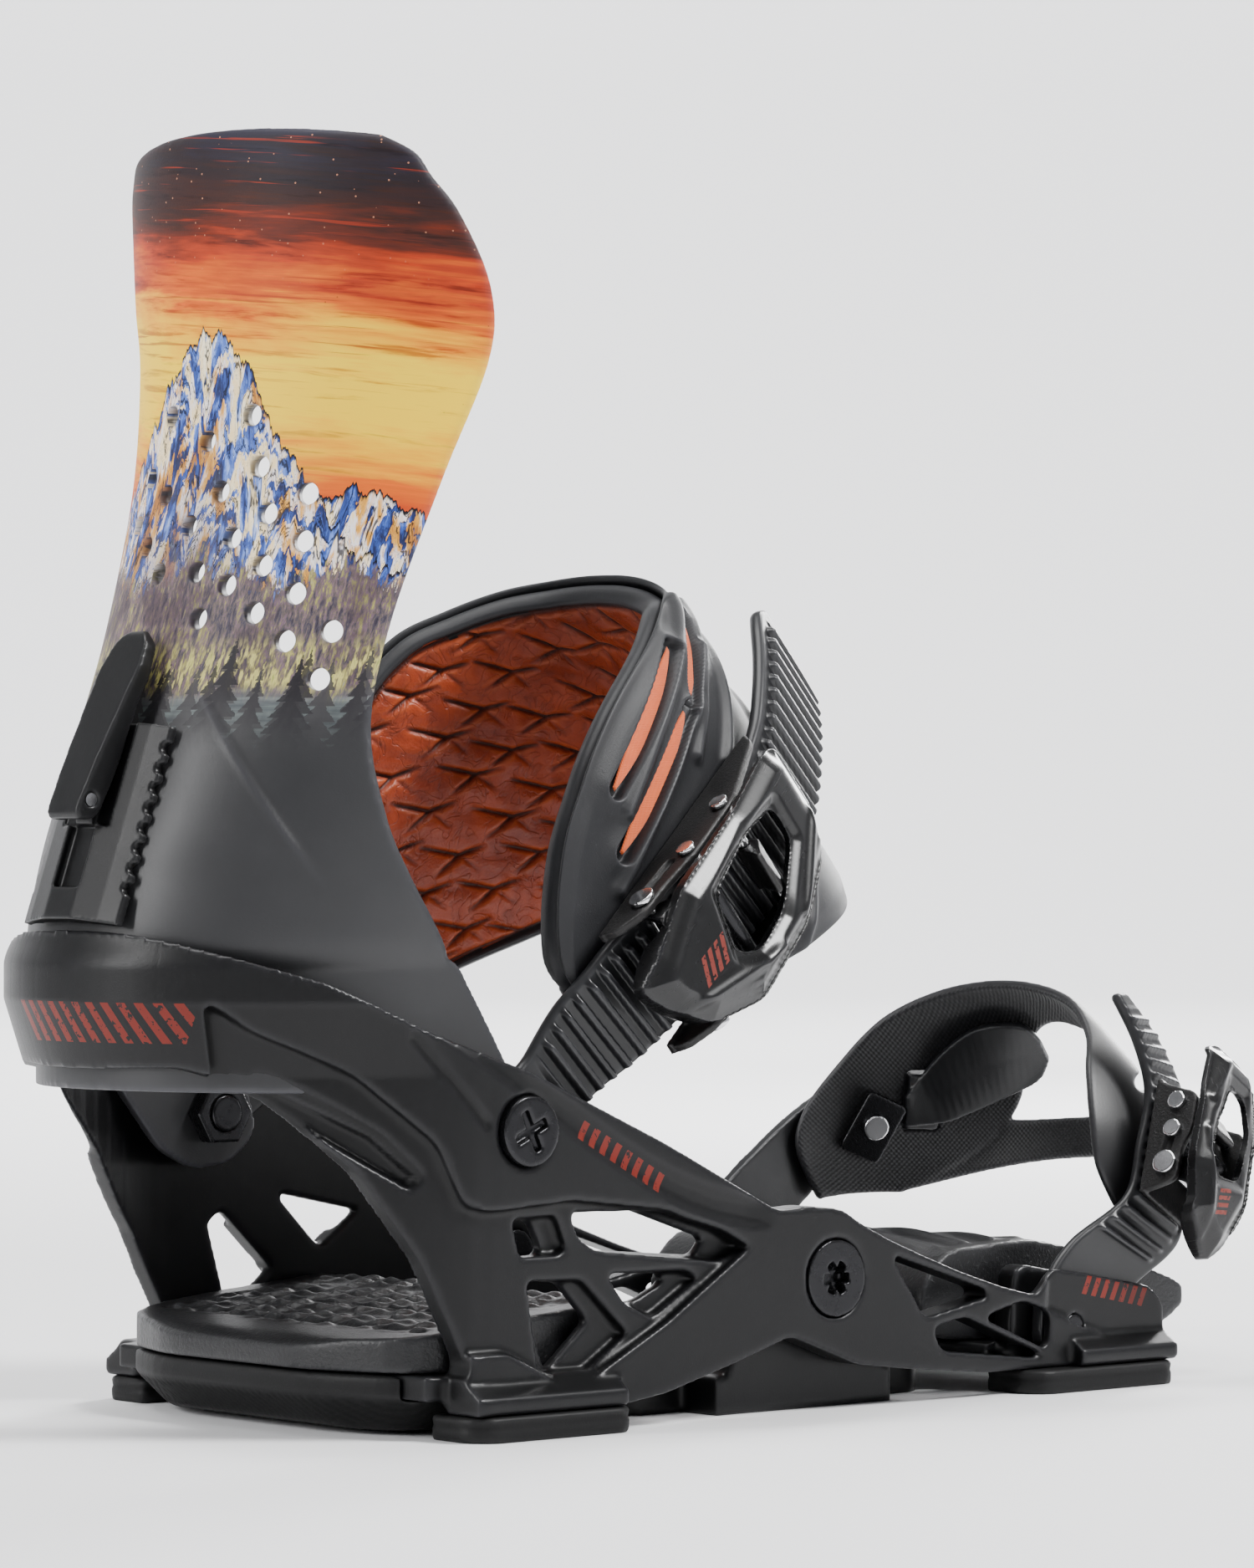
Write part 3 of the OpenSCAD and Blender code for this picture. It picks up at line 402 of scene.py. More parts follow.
def slab(name, mid, out, front, back, rim):
    """A closed solid about a grid of middle points: front and back are the thicknesses along out and against
    it, and rim is the radius to which all four edges are rounded."""
    n, m, _ = mid.shape
    u = run_along(mid[:, m // 2])
    du = np.minimum(u, u[-1] - u)[:, None]
    v = np.concatenate([np.zeros((n, 1)), np.cumsum(np.linalg.norm(np.diff(mid, axis=1), axis=2), axis=1)], 1)
    dv = np.minimum(v, v[:, -1:] - v)

    def ease(d):
        q = np.clip(1 - d / rim, 0, 1)
        return np.sqrt(1 - q * q)

    k = (ease(du) * ease(dv))[..., None]
    a = mid + out * k * np.broadcast_to(front, (n, m))[..., None]
    b = mid - out * k * np.broadcast_to(back, (n, m))[..., None]
    verts = np.concatenate([a.reshape(-1, 3), b.reshape(-1, 3)])
    idx = np.arange(n * m).reshape(n, m)
    q = np.stack([idx[:-1, :-1], idx[1:, :-1], idx[1:, 1:], idx[:-1, 1:]], -1).reshape(-1, 4)
    o = add(name, verts, np.concatenate([q, q[:, ::-1] + n * m]))
    return tidy(o, weld=0.002)


def rise(x, lo, hi):
    t = np.clip((x - lo) / (hi - lo), 0, 1)
    return t * t * (3 - 2 * t)


def to_segment(x, y, a, b):
    """Distance of each point from the line between a and b, and how far along that line it is."""
    a = np.array(a, float)
    d = b - a
    t = np.clip(((x - a[0]) * d[0] + (y - a[1]) * d[1]) / (d @ d), 0, 1)
    return np.hypot(x - a[0] - t * d[0], y - a[1] - t * d[1]), t


def groove(x, y, a, b, width, fade=0.0):
    """1 on the line from a to b, falling off over width and, if fade isn't 0, towards b."""
    dist, t = to_segment(x, y, a, b)
    return np.exp(-((dist / width) ** 2)) * (1 - t) ** fade


BODY_OF = {n: b for b, ns in frame["record"]["behaviour"]["bodies"].items() for n in ns}


def wear(o, material, node):
    o.data.materials.clear()
    o.data.materials.append(material)


def done(o, node, material, gain=5.0):
    """The piece stands for the CAD node, on its body."""
    mark_edges(o, gain)
    wear(o, material, node)
    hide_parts(node)
    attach(o, BODY_OF[node])
    return o


def moulded(node, voxel, passes, material, shape=None, gain=5.0):
    """The CAD node with eased edges, and with what shape does to its points."""
    o = rounded(copy_of(node, node + "_body"), voxel, passes)
    if shape:
        move_to(o, shape(points(o), normals(o)))
    return done(o, node, material, gain)


# ---------------------------------------------------------------- materials

PLASTICS = {  # name: dark, light, roughness, grain, relief, pale edges (rubbed wear and painted highlight), specular
    "nylon": ([0.0016, 0.0016, 0.0019], [0.0036, 0.0037, 0.0042], 0.36, 2.4, 0.035, 0.8, 0.26),
    "disc": ([0.003, 0.003, 0.0034], [0.006, 0.006, 0.0065], 0.42, 2.0, 0.03, 0.5, 0.26),
    "rubber": ([0.0015, 0.0015, 0.0017], [0.0036, 0.0036, 0.0038], 0.56, 1.6, 0.06, 0.6, 0.24),
    "footbed": ([0.0035, 0.0036, 0.0040], [0.009, 0.0092, 0.0105], 0.40, 1.1, 0.22, 0.7, 0.4),
    "exo": ([0.0085, 0.0087, 0.0100], [0.0165, 0.0168, 0.0190], 0.50, 2.6, 0.06, 0.5, 0.35),
    "ladder": ([0.0055, 0.0057, 0.0065], [0.0110, 0.0113, 0.0128], 0.36, 2.2, 0.03, 0.8, 0.42),
    "buckle_base": ([0.0030, 0.0028, 0.0030], [0.0070, 0.0064, 0.0066], 0.42, 1.8, 0.14, 0.5, 0.35)}
NYLON, DISC, RUBBER, FOOTBED, EXO, LADDER, BASE = (plastic(k, *v) for k, v in PLASTICS.items())
BLACK_METAL = metal("black_metal", [0.016, 0.016, 0.018], 0.26, 0.75)
CHROME = metal("chrome", [0.78, 0.78, 0.80], 0.16)


def bars(g, x, y, length, count, pitch, width, start=(0.0, 0.0)):
    """A row of slanted bars from start, as a mask over the plane of x and y."""
    across = (x - start[0]) - (y - start[1]) * 0.45
    stroke = g.math("FRACT", across / pitch) < width / pitch
    worn = g.noise(g.vec(x, y, 3.0), 0.8, 3.0, 0.6) < 0.60
    inside = (across > 0.0) * (across < count * pitch)
    return stroke * inside * (abs(y - start[1]) < length) * worn


def gloss():
    """Gloss black of the levers, with a painted highlight on its edges and a few dull red bars near the lower end.
    """
    g = Graph("gloss")
    x, z, top = g.split(g.attribute("face_at", vector=True))
    broad = g.noise(g.place(), 0.06, 3.0, 0.6)
    fine = g.noise(g.place(), 1.2, 3.0, 0.6)
    scuff = g.smooth(g.drawn(x * 0.12, z * 1.6, 2.0, 4.0, 0.7), 0.62, 0.72)
    edge = g.attribute("edge")
    colour = g.mix(broad, [0.0018, 0.0018, 0.0020], [0.0036, 0.0036, 0.0040])
    # Paler edges: a painted highlight along the bevels
    colour = g.mix(edge * 0.45, colour, [0.035, 0.035, 0.04])
    mark = bars(g, x, z, 3.0, 4, 2.6, 1.5, (-31.0, -1.0)) * (top > 0.5)
    colour = g.mix(mark, colour, "6E2318")
    rough = 0.24 + fine * 0.05 + scuff * 0.18 + mark * 0.2
    return g.finish(base=colour, rough=rough, spec=0.42, coat=0.08, coat_rough=0.10, normal=g.bump(fine, 0.004))


def frame_marks(g, colour):
    """Dull red bars on the hoop, the arms and the front ends."""
    x, y, z = g.split(g.place())
    hoop = bars(g, y + 34.0, z - 87.0, 4.2, 12, 4.0, 2.0) * (x < -150.0)
    arm = bars(g, x + 70.0, z - 57.3 + (x + 58.0) * 0.55, 2.4, 8, 3.0, 1.5) * (abs(y) > 61.0)
    front = bars(g, x - 81.0, z - 21.4 + (x - 92.0) * 0.20, 2.2, 7, 3.0, 1.5) * (abs(y) > 59.0)
    mark = g.math("MAXIMUM", hoop, g.math("MAXIMUM", arm, front))
    return g.mix(mark * 0.9, colour, "701F14")


GLOSS = gloss()
# Its pale edge colour is rubbed wear and a painted highlight
FRAME = plastic("frame_nylon", *PLASTICS["nylon"][:2], 0.37, 2.4, 0.035, 0.7, 0.26, [0.036, 0.036, 0.040],
                frame_marks)


def leather():
    """Red-brown leather, with painted shade in the creases and a painted highlight on the scales' edges."""
    g = Graph("liner_leather")
    p = g.place()
    deep = g.attribute("deep")
    edge = g.attribute("edge")
    broad = g.noise(p, 0.05, 3.0, 0.6)
    pores = g.cells(p, 1.7)
    grain = g.noise(p, 0.8, 5.0, 0.7)
    creases = g.noise(p, 0.16, 2.0, 0.5, 1.2)
    fold = g.smooth(abs(creases - 0.5), 0.0, 0.035)
    colour = g.mix(g.smooth(broad, 0.3, 0.7), "7E2A12", "AE4420")
    colour = g.mix((grain - 0.35) * 0.6, colour, "C4552B")
    # Painted shade: darker the deeper a point lies in a crease
    colour = g.mix(deep * 0.92, colour, "260C06")
    # Painted highlight on the raised edges of the scales
    colour = g.mix(edge * 0.55, colour, "D9743F")
    colour = g.mix((1.0 - fold) * 0.22, colour, "4A180C")
    height = pores * 0.35 + grain * 0.4 + fold * 0.5
    rough = 0.44 + (grain - 0.5) * 0.25 + deep * 0.15
    return g.finish(base=colour, rough=rough, spec=0.45, normal=g.bump(height, 0.16))


def inlay_cloth():
    g = Graph("inlay_cloth")
    p = g.place()
    x, y, z = g.split(p)
    weave = g.math("SINE", (x + z) * 9.0) * g.math("SINE", (z - x) * 9.0)
    broad = g.noise(p, 0.2, 3.0, 0.6)
    colour = g.mix(broad, "D2510E", "F06A1C")
    colour = g.mix(g.smooth(weave, 0.2, 0.9) * 0.30, colour, "A83A0C")
    return g.finish(base=colour, rough=0.75, sheen=0.25, normal=g.bump(weave, 0.06))


def woven_rubber():
    """The toe cap: fine mesh on its inner face, satin rubber outside."""
    g = Graph("toe_rubber_woven")
    p = g.place()
    x, y, z = g.split(p)
    inner = g.attribute("inner")
    edge = g.attribute("edge")
    lines = g.math("SINE", (y - x * 0.7) * 4.6) * g.math("SINE", (z + (x + y) * 0.12) * 5.0)
    broad = g.noise(p, 0.06, 3.0, 0.6)
    fine = g.noise(p, 2.2, 3.0, 0.6)
    colour = g.mix(broad, [0.0045, 0.0045, 0.0052], [0.0085, 0.0087, 0.0098])
    # Paler edges: a painted highlight
    colour = g.mix(edge * 0.6, colour, [0.04, 0.04, 0.045])
    colour = g.mix(inner * g.smooth(lines, 0.0, 0.8) * 0.6, colour, [0.024, 0.024, 0.027])
    height = fine * 0.3 + inner * lines * 0.9
    return g.finish(base=colour, rough=0.44 + (fine - 0.5) * 0.1 + inner * 0.12, normal=g.bump(height, 0.07))


LEATHER = leather()
INLAY = inlay_cloth()
TOE_WOVEN = woven_rubber()


def sunset_print():
    """A printed sky at dusk over mountains and a wood, which fades into plain plastic below."""
    g = Graph("highback_print")
    s, z, face = g.split(g.attribute("print", vector=True))
    plane = g.vec(s, z)

    # Sky: long streaks that lean down to the right
    lean = z + s * 0.10
    wide = g.drawn(s * 0.016, lean * 0.085, 3.0, 4.0, 0.6, 0.6)
    thin = g.drawn(s * 0.03, lean * 0.42, 9.0, 5.0, 0.62, 0.4)
    hair = g.drawn(s * 0.07, lean * 1.6, 4.0, 4.0, 0.7)
    level = (lean - 184.0 + (wide - 0.5) * 36.0 + (thin - 0.5) * 20.0) / 92.0
    sky = g.ramp(level, [
        (0.00, [0.30, 0.030, 0.008]), (0.10, [0.55, 0.062, 0.010]), (0.18, [0.70, 0.13, 0.008]),
        (0.26, [0.90, 0.40, 0.004]), (0.34, [0.98, 0.62, 0.006]), (0.46, [0.98, 0.64, 0.010]),
        (0.54, [0.90, 0.40, 0.006]), (0.61, [0.66, 0.12, 0.008]), (0.68, [0.42, 0.042, 0.010]),
        (0.745, [0.12, 0.020, 0.010]), (0.82, [0.040, 0.015, 0.012]), (0.92, [0.018, 0.012, 0.015]),
        (1.00, [0.020, 0.018, 0.032])])
    sky = g.mix(g.smooth(hair, 0.50, 0.70) * 0.5, sky, [0.95, 0.50, 0.08], "SOFT_LIGHT")
    sky = g.mix(g.smooth(thin, 0.55, 0.68) * 0.55, sky, [0.30, 0.06, 0.02], "MULTIPLY")
    streak = g.drawn(s * 0.020, lean * 0.9, 14.0, 3.0, 0.6)
    sky = g.mix(g.smooth(streak, 0.60, 0.66) * g.smooth(z, 206.0, 232.0) * 0.65, sky, [0.32, 0.030, 0.010])
    dots = g.cells(plane, 0.42)
    high = g.smooth(z, 236.0, 262.0)
    sky = g.mix((dots < 0.085) * high * 0.8, sky, "C98A6A")
    grit = g.cells(g.vec(s + 31.0, z, 2.0), 0.30)
    patch = g.smooth(g.noise(plane, 0.03, 1.0), 0.45, 0.6) * g.smooth(s, 5.0, 35.0)
    sky = g.mix((grit < 0.055) * patch * (1.0 - high) * 0.85, sky, "3A1A14")

    # Mountains: two ranges with jagged crests
    def crest(stops, jag, seed):
        base = g.ramp((s + 80.0) / 160.0, [(a, [h, h, h]) for a, h in stops], "B_SPLINE")
        rough = g.drawn(s * 0.34, seed, 0.0, 3.0, 0.65) - 0.5
        spur = g.math("PINGPONG", s * 0.5 + g.drawn(s * 0.08, seed, 0.0) * 9.0, 1.7)
        return g.split(base)[0] * 100.0 + 150.0 + rough * jag + spur * 1.3

    far = crest([(0.0, 0.30), (0.2, 0.36), (0.35, 0.50), (0.5, 0.40), (0.66, 0.40), (0.78, 0.50),
                 (0.88, 0.38), (1.0, 0.34)], 9.0, 5.0)
    near = crest([(0.0, 0.24), (0.22, 0.36), (0.34, 0.50), (0.47, 0.82), (0.56, 0.82), (0.64, 0.62),
                  (0.78, 0.30), (1.0, 0.22)], 13.0, 1.0)

    def rock(top, seed):
        """A face lit from the left: its height field is compared with itself a little further on."""
        drop = top - z

        def height(ds, dz):
            bent = s + ds + (drop + dz) * 0.30 * g.math("SIGN", s - 4.0)
            return g.drawn(bent * 0.105, (drop + dz) * 0.048, seed, 4.0, 0.60, 1.1)

        here = height(0.0, 0.0)
        slope = (here - height(1.6, 0.8)) * 7.0
        fine = g.drawn(s * 0.55, drop * 0.20, seed + 3.0, 4.0, 0.65, 0.6)
        tone = g.drawn(s * 0.09, drop * 0.05, seed + 9.0, 3.0, 0.6, 0.5)
        lit = g.smooth(slope + (fine - 0.5) * 0.8, -0.06, 0.06)
        snow = g.ramp(tone + (fine - 0.5) * 0.35, [
            (0.30, "FFF2D2"), (0.42, "F7DDA6"), (0.48, "EEEAF0"), (0.56, "E0A548"), (0.64, "B8752C"),
            (0.72, "6B4630")])
        shadow = g.ramp(tone * 0.5 + fine * 0.5, [
            (0.34, "B4C6F0"), (0.42, "6C8CDA"), (0.48, "3A56A8"), (0.54, "28315E"), (0.60, "1E2038"),
            (0.68, "7F98D6")])
        c = g.mix(lit, shadow, snow)
        low = g.smooth(drop + (tone - 0.5) * 30.0, 20.0, 58.0)
        c = g.mix(low * 0.72, c, g.ramp(fine, [(0.35, "2C2A36"), (0.5, "55506A"), (0.65, "5C5A44")]))
        line = g.smooth(abs(here - 0.5), 0.004, 0.016)
        scratch = g.smooth(abs(fine - 0.5), 0.0, 0.020)
        c = g.mix((1.0 - line) * 0.9, c, "15151C")
        c = g.mix((1.0 - scratch) * 0.6, c, "22232E")
        return g.mix(1.0 - g.smooth(drop, 0.3, 1.2), c, "17151B")

    view = g.mix(far > z, sky, rock(far, 2.0))
    view = g.mix(near > z, view, rock(near, 7.0))

    # The wood: upright strokes, then pale brush, then dark firs
    strokes = g.drawn(s * 0.95, z * 0.24, 1.5, 4.0, 0.68, 0.3)
    clump = g.noise(plane, 0.09, 3.0, 0.6)
    wood = g.ramp(strokes, [(0.30, "2B2630"), (0.42, "4A4450"), (0.48, "645A50"), (0.54, "70586C"),
                            (0.60, "87824E"), (0.68, "AAA062"), (0.78, "6A7CA8")])
    wood = g.mix(g.smooth(clump, 0.45, 0.62) * 0.6, wood, "40343C")
    tree_line = 181.0 + (g.drawn(s * 0.05, 8.0, 0.0) - 0.5) * 22.0 + (strokes - 0.5) * 22.0
    view = g.mix(g.smooth(tree_line - z, -1.0, 1.5), view, wood)
    brush_y = 161.0 + (g.drawn(s * 0.06, 2.0, 0.0) - 0.5) * 10.0
    tufts = g.drawn(s * 0.75, z * 0.20, 6.0, 3.0, 0.6)
    in_brush = g.smooth(z, brush_y - 7.0, brush_y - 3.0) * (1.0 - g.smooth(z, brush_y + 1.0, brush_y + 7.0))
    view = g.mix(in_brush * g.smooth(tufts, 0.42, 0.58), view,
                 g.ramp(tufts, [(0.45, "5C5A30"), (0.58, "C2B870"), (0.72, "8A9248")]))
    water = g.smooth(brush_y - 4.0 - z, 0.0, 5.0)
    view = g.mix(water, view, g.ramp(g.drawn(s * 0.05, z * 0.9, 3.0, 3.0), [(0.3, "484E52"), (0.7, "76807E")]))

    def firs(pitch, base, tall, seed, colour, under):
        cell = g.math("FLOOR", s / pitch + seed)
        offset = (g.drawn(cell * 7.31, seed, 0.0, 0.0) - 0.5) * 1.2
        local = (g.math("FRACT", s / pitch + seed) - 0.5 - offset * 0.35) * pitch
        top = base + tall * (0.45 + g.drawn(cell * 3.17, seed + 5.0, 0.0, 0.0) * 1.1)
        below = top - z
        tiers = 0.45 + 0.8 * g.math("FRACT", below * 0.30)
        half = below * 0.24 * tiers + g.drawn(s * 1.6, z * 1.6, seed, 1.0) - 0.5
        inside = (abs(local) < g.math("MINIMUM", half, 4.4)) * (below > 0.0)
        return g.mix(inside * 0.92, under, colour)

    view = firs(7.5, 154.0, 9.0, 0.3, "3C3A3C", view)
    view = firs(11.0, 147.0, 15.0, 4.7, "2A282B", view)
    view = firs(17.0, 142.0, 20.0, 9.1, "201E22", view)

    # Below, the print fades into the plain shell
    grain = g.noise(g.place(), 2.2, 3.0, 0.6)
    broad = g.noise(g.place(), 0.04, 3.0, 0.6)
    shell = g.mix(broad, [0.017, 0.0172, 0.0185], [0.027, 0.0272, 0.029])
    fade = g.smooth(z + (g.drawn(s * 0.5, z * 0.2, 2.0, 3.0) - 0.5) * 8.0, 142.0, 158.0) * face
    colour = g.mix(g.attribute("edge") * 0.35, g.mix(fade, shell, view), [0.09, 0.09, 0.11])
    rough = 0.42 + (grain - 0.5) * 0.12 + (broad - 0.5) * 0.10 + fade * 0.12
    return g.finish(base=colour, rough=rough, spec=0.42 - 0.24 * fade, normal=g.bump(grain, 0.02))


PRINT = sunset_print()

# ---------------------------------------------------------------- frame and truck

HOOP_AT, HOOP_HALF = np.array([-92.0, 0.0]), np.array([70.0, 62.0])
STRUT_POCKET = [[-142, 77], [-142, 71], [-111, 52], [-108, 55], [-117, 64], [-138, 76]]


def inside_of(x, z, outline):
    """Distance inside a convex or bent outline, negative outside it."""
    q = np.asarray(outline, float)
    dist = np.full(np.shape(x), 1e9)
    odd = np.zeros(np.shape(x), bool)
    for a, b in zip(q, np.roll(q, -1, axis=0)):
        dist = np.minimum(dist, to_segment(x, z, a, b)[0])
        crossing = (a[1] > z) != (b[1] > z)
        with np.errstate(divide="ignore", invalid="ignore"):
            at = a[0] + (z - a[1]) / (b[1] - a[1]) * (b[0] - a[0]) if a[1] != b[1] else a[0]
        odd ^= crossing & (x < at)
    return np.where(odd, dist, -dist)


def chassis_shape(co, no):
    co = co.copy()
    x, y, z = co.T
    # The hoop is a true curve, whose lower edge draws in
    rel = co[:, :2] - HOOP_AT
    t = np.arctan2(rel[:, 1] / HOOP_HALF[1], -rel[:, 0] / HOOP_HALF[0])
    step = math.pi / 28
    chord = math.cos(step / 2) / np.cos((t + math.pi / 2) % step - step / 2)
    back = rise(-x, 94, 100)
    round_out = 1 + (1 / chord - 1) * back
    rho = np.linalg.norm(rel / HOOP_HALF, axis=1)
    low = np.clip((91 - z) / 15, 0, 1) * rise(-x, 96, 128)
    top = rise(z, 98, 106) * rise(rho, 0.93, 0.985) * rise(-x, 96, 128)
    co[:, :2] = HOOP_AT + rel * round_out[:, None] - unit(rel) * (4.6 * low + 2.2 * top)[:, None]
    # A pocket along the strut and a raised seam that follows the lower edge of the arm
    outer = rise(np.abs(y), 52, 56)
    pocket = rise(inside_of(x, z, STRUT_POCKET), 0.2, 1.8) * rise(rho, 0.90, 0.95)
    seam = groove(x, z, (-112, 84), (-96, 66), 1.0) * outer
    bevel = rise(4.2 - np.abs(z - (106 - rise(x, -160, -14) * 62)), 0, 3) * rise(np.abs(y), 58, 61)
    co[:, :2] -= unit(rel) * (1.6 * pocket * back)[:, None]
    co[:, 1] -= np.sign(y) * (0.5 * seam + 0.7 * bevel * rise(x, -120, -100) * rise(-x, 14, 24))
    return co


moulded("chassis", 0.65, 3, FRAME, chassis_shape, gain=4.0)
moulded("hanger_plate", 0.8, 4, NYLON)
moulded("mounting_disc", 1.0, 4, DISC)


def tread(co, no):
    """Shallow slots round the side of a foot pad."""
    cut = np.exp(-((co[:, 2] - 3.4) / 0.45) ** 2) * (np.abs(no[:, 2]) < 0.5)
    return co - no * cut[:, None] * 0.35


for where in ("rear_near", "rear_far", "front_near", "front_far"):
    moulded("foot_pad_" + where, 0.7, 6, RUBBER, tread)


def base_lines(co, no):
    """The base draws in towards the bottom, and has a band of fine diagonal ribs round it."""
    x, y, z = co.T
    side = (np.abs(no[:, 2]) < 0.6) * rise(z, 1.5, 2.6) * rise(8.2 - z, 0, 0.8)
    wave = np.sin((x + y + z * 2.0) * 2.6)
    co = co + no * (side * wave * 0.16)[:, None]
    draw = 1 - 0.14 * np.clip((8.4 - z) / 8, 0, 1)
    co[:, 0] = np.where(co[:, 0] < -70, -70 + (co[:, 0] + 70) * draw, co[:, 0])
    co[:, 1] *= draw
    return co


def bed_waves(co, no):
    """Slanting wavy ribs on top of the heel footbed."""
    x, y, z = co.T
    up = rise(no[:, 2], 0.6, 0.9)
    inner = rise(x, -104, -98) * rise(46 - np.abs(y), 0, 4)
    phase = (x + 0.55 * y) * 0.92 + 1.1 * np.sin(y * 0.5 - x * 0.2)
    ridge = (0.5 + 0.5 * np.sin(phase)) ** 1.6
    bumps = 0.5 + 0.5 * np.sin((y - 0.5 * x) * 0.9)
    return co + no * (up * inner * (ridge * (0.5 + 0.5 * bumps) * 1.1 - 0.3))[:, None]


def toe_bed_waves(co, no):
    """Slanting straight ribs on top of the toe footbed."""
    x, y, z = co.T
    up = rise(no[:, 2], 0.6, 0.9)
    inner = rise(x, 50, 56) * rise(124 - x, 0, 5) * rise(43 - np.abs(y), 0, 4)
    ridge = (0.5 + 0.5 * np.sin((x * 0.8 - 0.35 * y) * 0.9)) ** 2
    return co + no * (up * inner * (ridge * 0.9 - 0.3))[:, None]


moulded("heel_base", 0.7, 6, RUBBER, base_lines)
moulded("heel_footbed", 0.6, 8, FOOTBED, bed_waves)
moulded("toe_footbed", 0.8, 8, FOOTBED, toe_bed_waves)

for side in ("near", "far"):
    for pin, passes in (("kingpin_", 3), ("pivot_bolt_", 3), ("pivot_nut_", 2), ("toe_bolt_", 2)):
        moulded(pin + side, 0.35, passes, BLACK_METAL, gain=3.0)
    wear(NODE["kingpin_bush_" + side], CHROME, "kingpin_bush_" + side)

# ---------------------------------------------------------------- highback

STATIONS = np.array([
    [97, 49.7, -154.7, 88, 0], [104, 51, -157, 88, 0], [118, 52, -154, 76, 0], [130, 53, -150, 67, 0],
    [148, 55, -143, 58, 0], [170, 57, -135, 56, 0], [200, 61, -127, 61, 0], [225, 65, -124, 69, 1],
    [240, 68, -124.5, 70, 1.5], [255, 69, -125, 64, 2], [263, 70, -125, 58, 2.5],
    [268, 70, -124.5, 54, 3], [272, 70, -124, 46, 3]], float)
SHELL_T = 3.2
VENTS = [(-10, 215), (5, 209), (18, 214), (-17, 202), (-8, 198), (11, 198), (21, 203), (33, 197),
         (-20, 192), (-12, 187), (-4, 181), (3, 191), (16, 188), (24, 193), (32.6, 187), (24.2, 182),
         (8, 181), (16.5, 178), (11, 171), (23.6, 172), (31.8, 176), (30.5, 166), (39.5, 168), (37.5, 158)]
VENT_R = 2.4


def station_at(z):
    """Radius, X of the back and half arc at a height, smooth through the stations."""
    zs = STATIONS[:, 0]
    fine = through(STATIONS, 12 * 24)
    return [np.interp(z, fine[:, 0], fine[:, i]) for i in (1, 2, 3)]


def shell_xy(r, back, s):
    """The shell's outline at a height: a half circle with straight legs."""
    quarter = r * math.pi / 2
    leg = np.abs(s) - quarter
    q = s / r
    cx = back + r
    x = np.where(leg < 0, cx - r * np.cos(q), cx + leg)
    y = np.where(leg < 0, -r * np.sin(q), -np.sign(s) * r)
    nx = np.where(leg < 0, -np.cos(q), 0)
    ny = np.where(leg < 0, -np.sin(q), -np.sign(s))
    return x, y, nx, ny


def highback():
    t = ends_dense(150, 130, 1.6)
    z, r, back, half, lift = through(STATIONS, 12 * 16).T[..., None]
    s = half * (2 * t - 1)
    x, y, nx, ny = shell_xy(r, back, s)
    outer = np.stack([x, y, z + lift * (1 - (s / half) ** 2)], -1)
    out = np.stack([nx, ny, 0 * nx], -1)
    mid = outer - out * SHELL_T / 2
    shell = slab("highback_shell_body", mid, out, SHELL_T / 2, SHELL_T / 2, 1.4)
    wings = keep_below(copy_of("highback_shell", "wings"), 99.5)
    o = join([shell, wings], "highback_shell_body")
    rounded(o, 0.7, 4)
    # A crease from the waist down to the wing, on the outer side
    co, no = points(o), normals(o)
    s, outside = arc_of(co, no)
    z = co[:, 2]
    below = z - 158 + (s - 16) * 1.05
    step = rise(-below, -1.2, 1.6) * rise(z, 116, 128) * rise(s, 8, 24)
    line = np.exp(-(below / 1.3) ** 2) * rise(z, 112, 126) * rise(s, 12, 22)
    move_to(o, co + no * (outside * (0.35 * line + 0.5 * step))[:, None])
    pins = [rod("vent", *vent_line(s, z), VENT_R, 40) for s, z in VENTS]
    cut_by(o, join(pins, "vents"))
    co = points(o)
    s, outside = arc_of(co, normals(o))
    set_attribute(o, "print", np.stack([s, co[:, 2], outside], 1))
    return done(o, "highback_shell", PRINT)


def vent_line(s, z):
    a = math.radians(s * 0.98)
    d = np.array([-math.cos(a), -math.sin(a), 0])
    return np.array([-70, 0, z]) + d * 20, np.array([-70, 0, z]) + d * 95


def arc_of(co, no):
    """Arc length from the spine along the shell, and 1 on its outer face."""
    x, y, z = co.T
    r, back, half = station_at(z)
    cx = back + r
    quarter = r * math.pi / 2
    q = np.arctan2(-y, cx - x)
    s = np.where(x < cx, q * r, -np.sign(y) * (quarter + x - cx))
    rho = np.where(x < cx, np.hypot(x - cx, y), np.abs(y))
    radial = np.where(x < cx, (no[:, 0] * (x - cx) + no[:, 1] * y) / np.maximum(rho, 1e-6), no[:, 1] * np.sign(y))
    return s, rise(radial, -0.2, 0.3) * rise(rho - r, -2.6, -1.8)


highback()
pad = moulded("highback_pad", 0.8, 8, RUBBER)
moulded("lean_block", 0.4, 4, NYLON)
moulded("lean_lever", 0.4, 6, NYLON)
wear(NODE["lean_pin"], CHROME, "lean_pin")

# ---------------------------------------------------------------- ankle strap

PIVOT = np.array([-85.0, 0.0, 64.0])
TILT = math.radians(39)
ARCH_LEN, ARCH_HALF = 137.0, 53.0
PAD = np.array([
    [12, 34, -14], [20, 42, -19], [30, 50.5, -25], [40, 53.5, -29.5], [50, 51.5, -33], [62, 49, -36],
    [74, 46.4, -39], [90, 44.8, -41],
    [108, 43.8, -42], [123, 47, -40.5], [138, 47.3, -35], [150, 46.6, -28.5], [158, 43.6, -20],
    [163.5, 39, -12.5], [167, 34.8, -8.5], [169.8, 29, -5], [171.8, 23, -1.5], [173, 17.5, 2.5],
    [173.6, 12.5, 6.5]], float)
EXO_T, LINER_T, GAP = 2.2, 5.0, 0.25
DENSE = 1.0


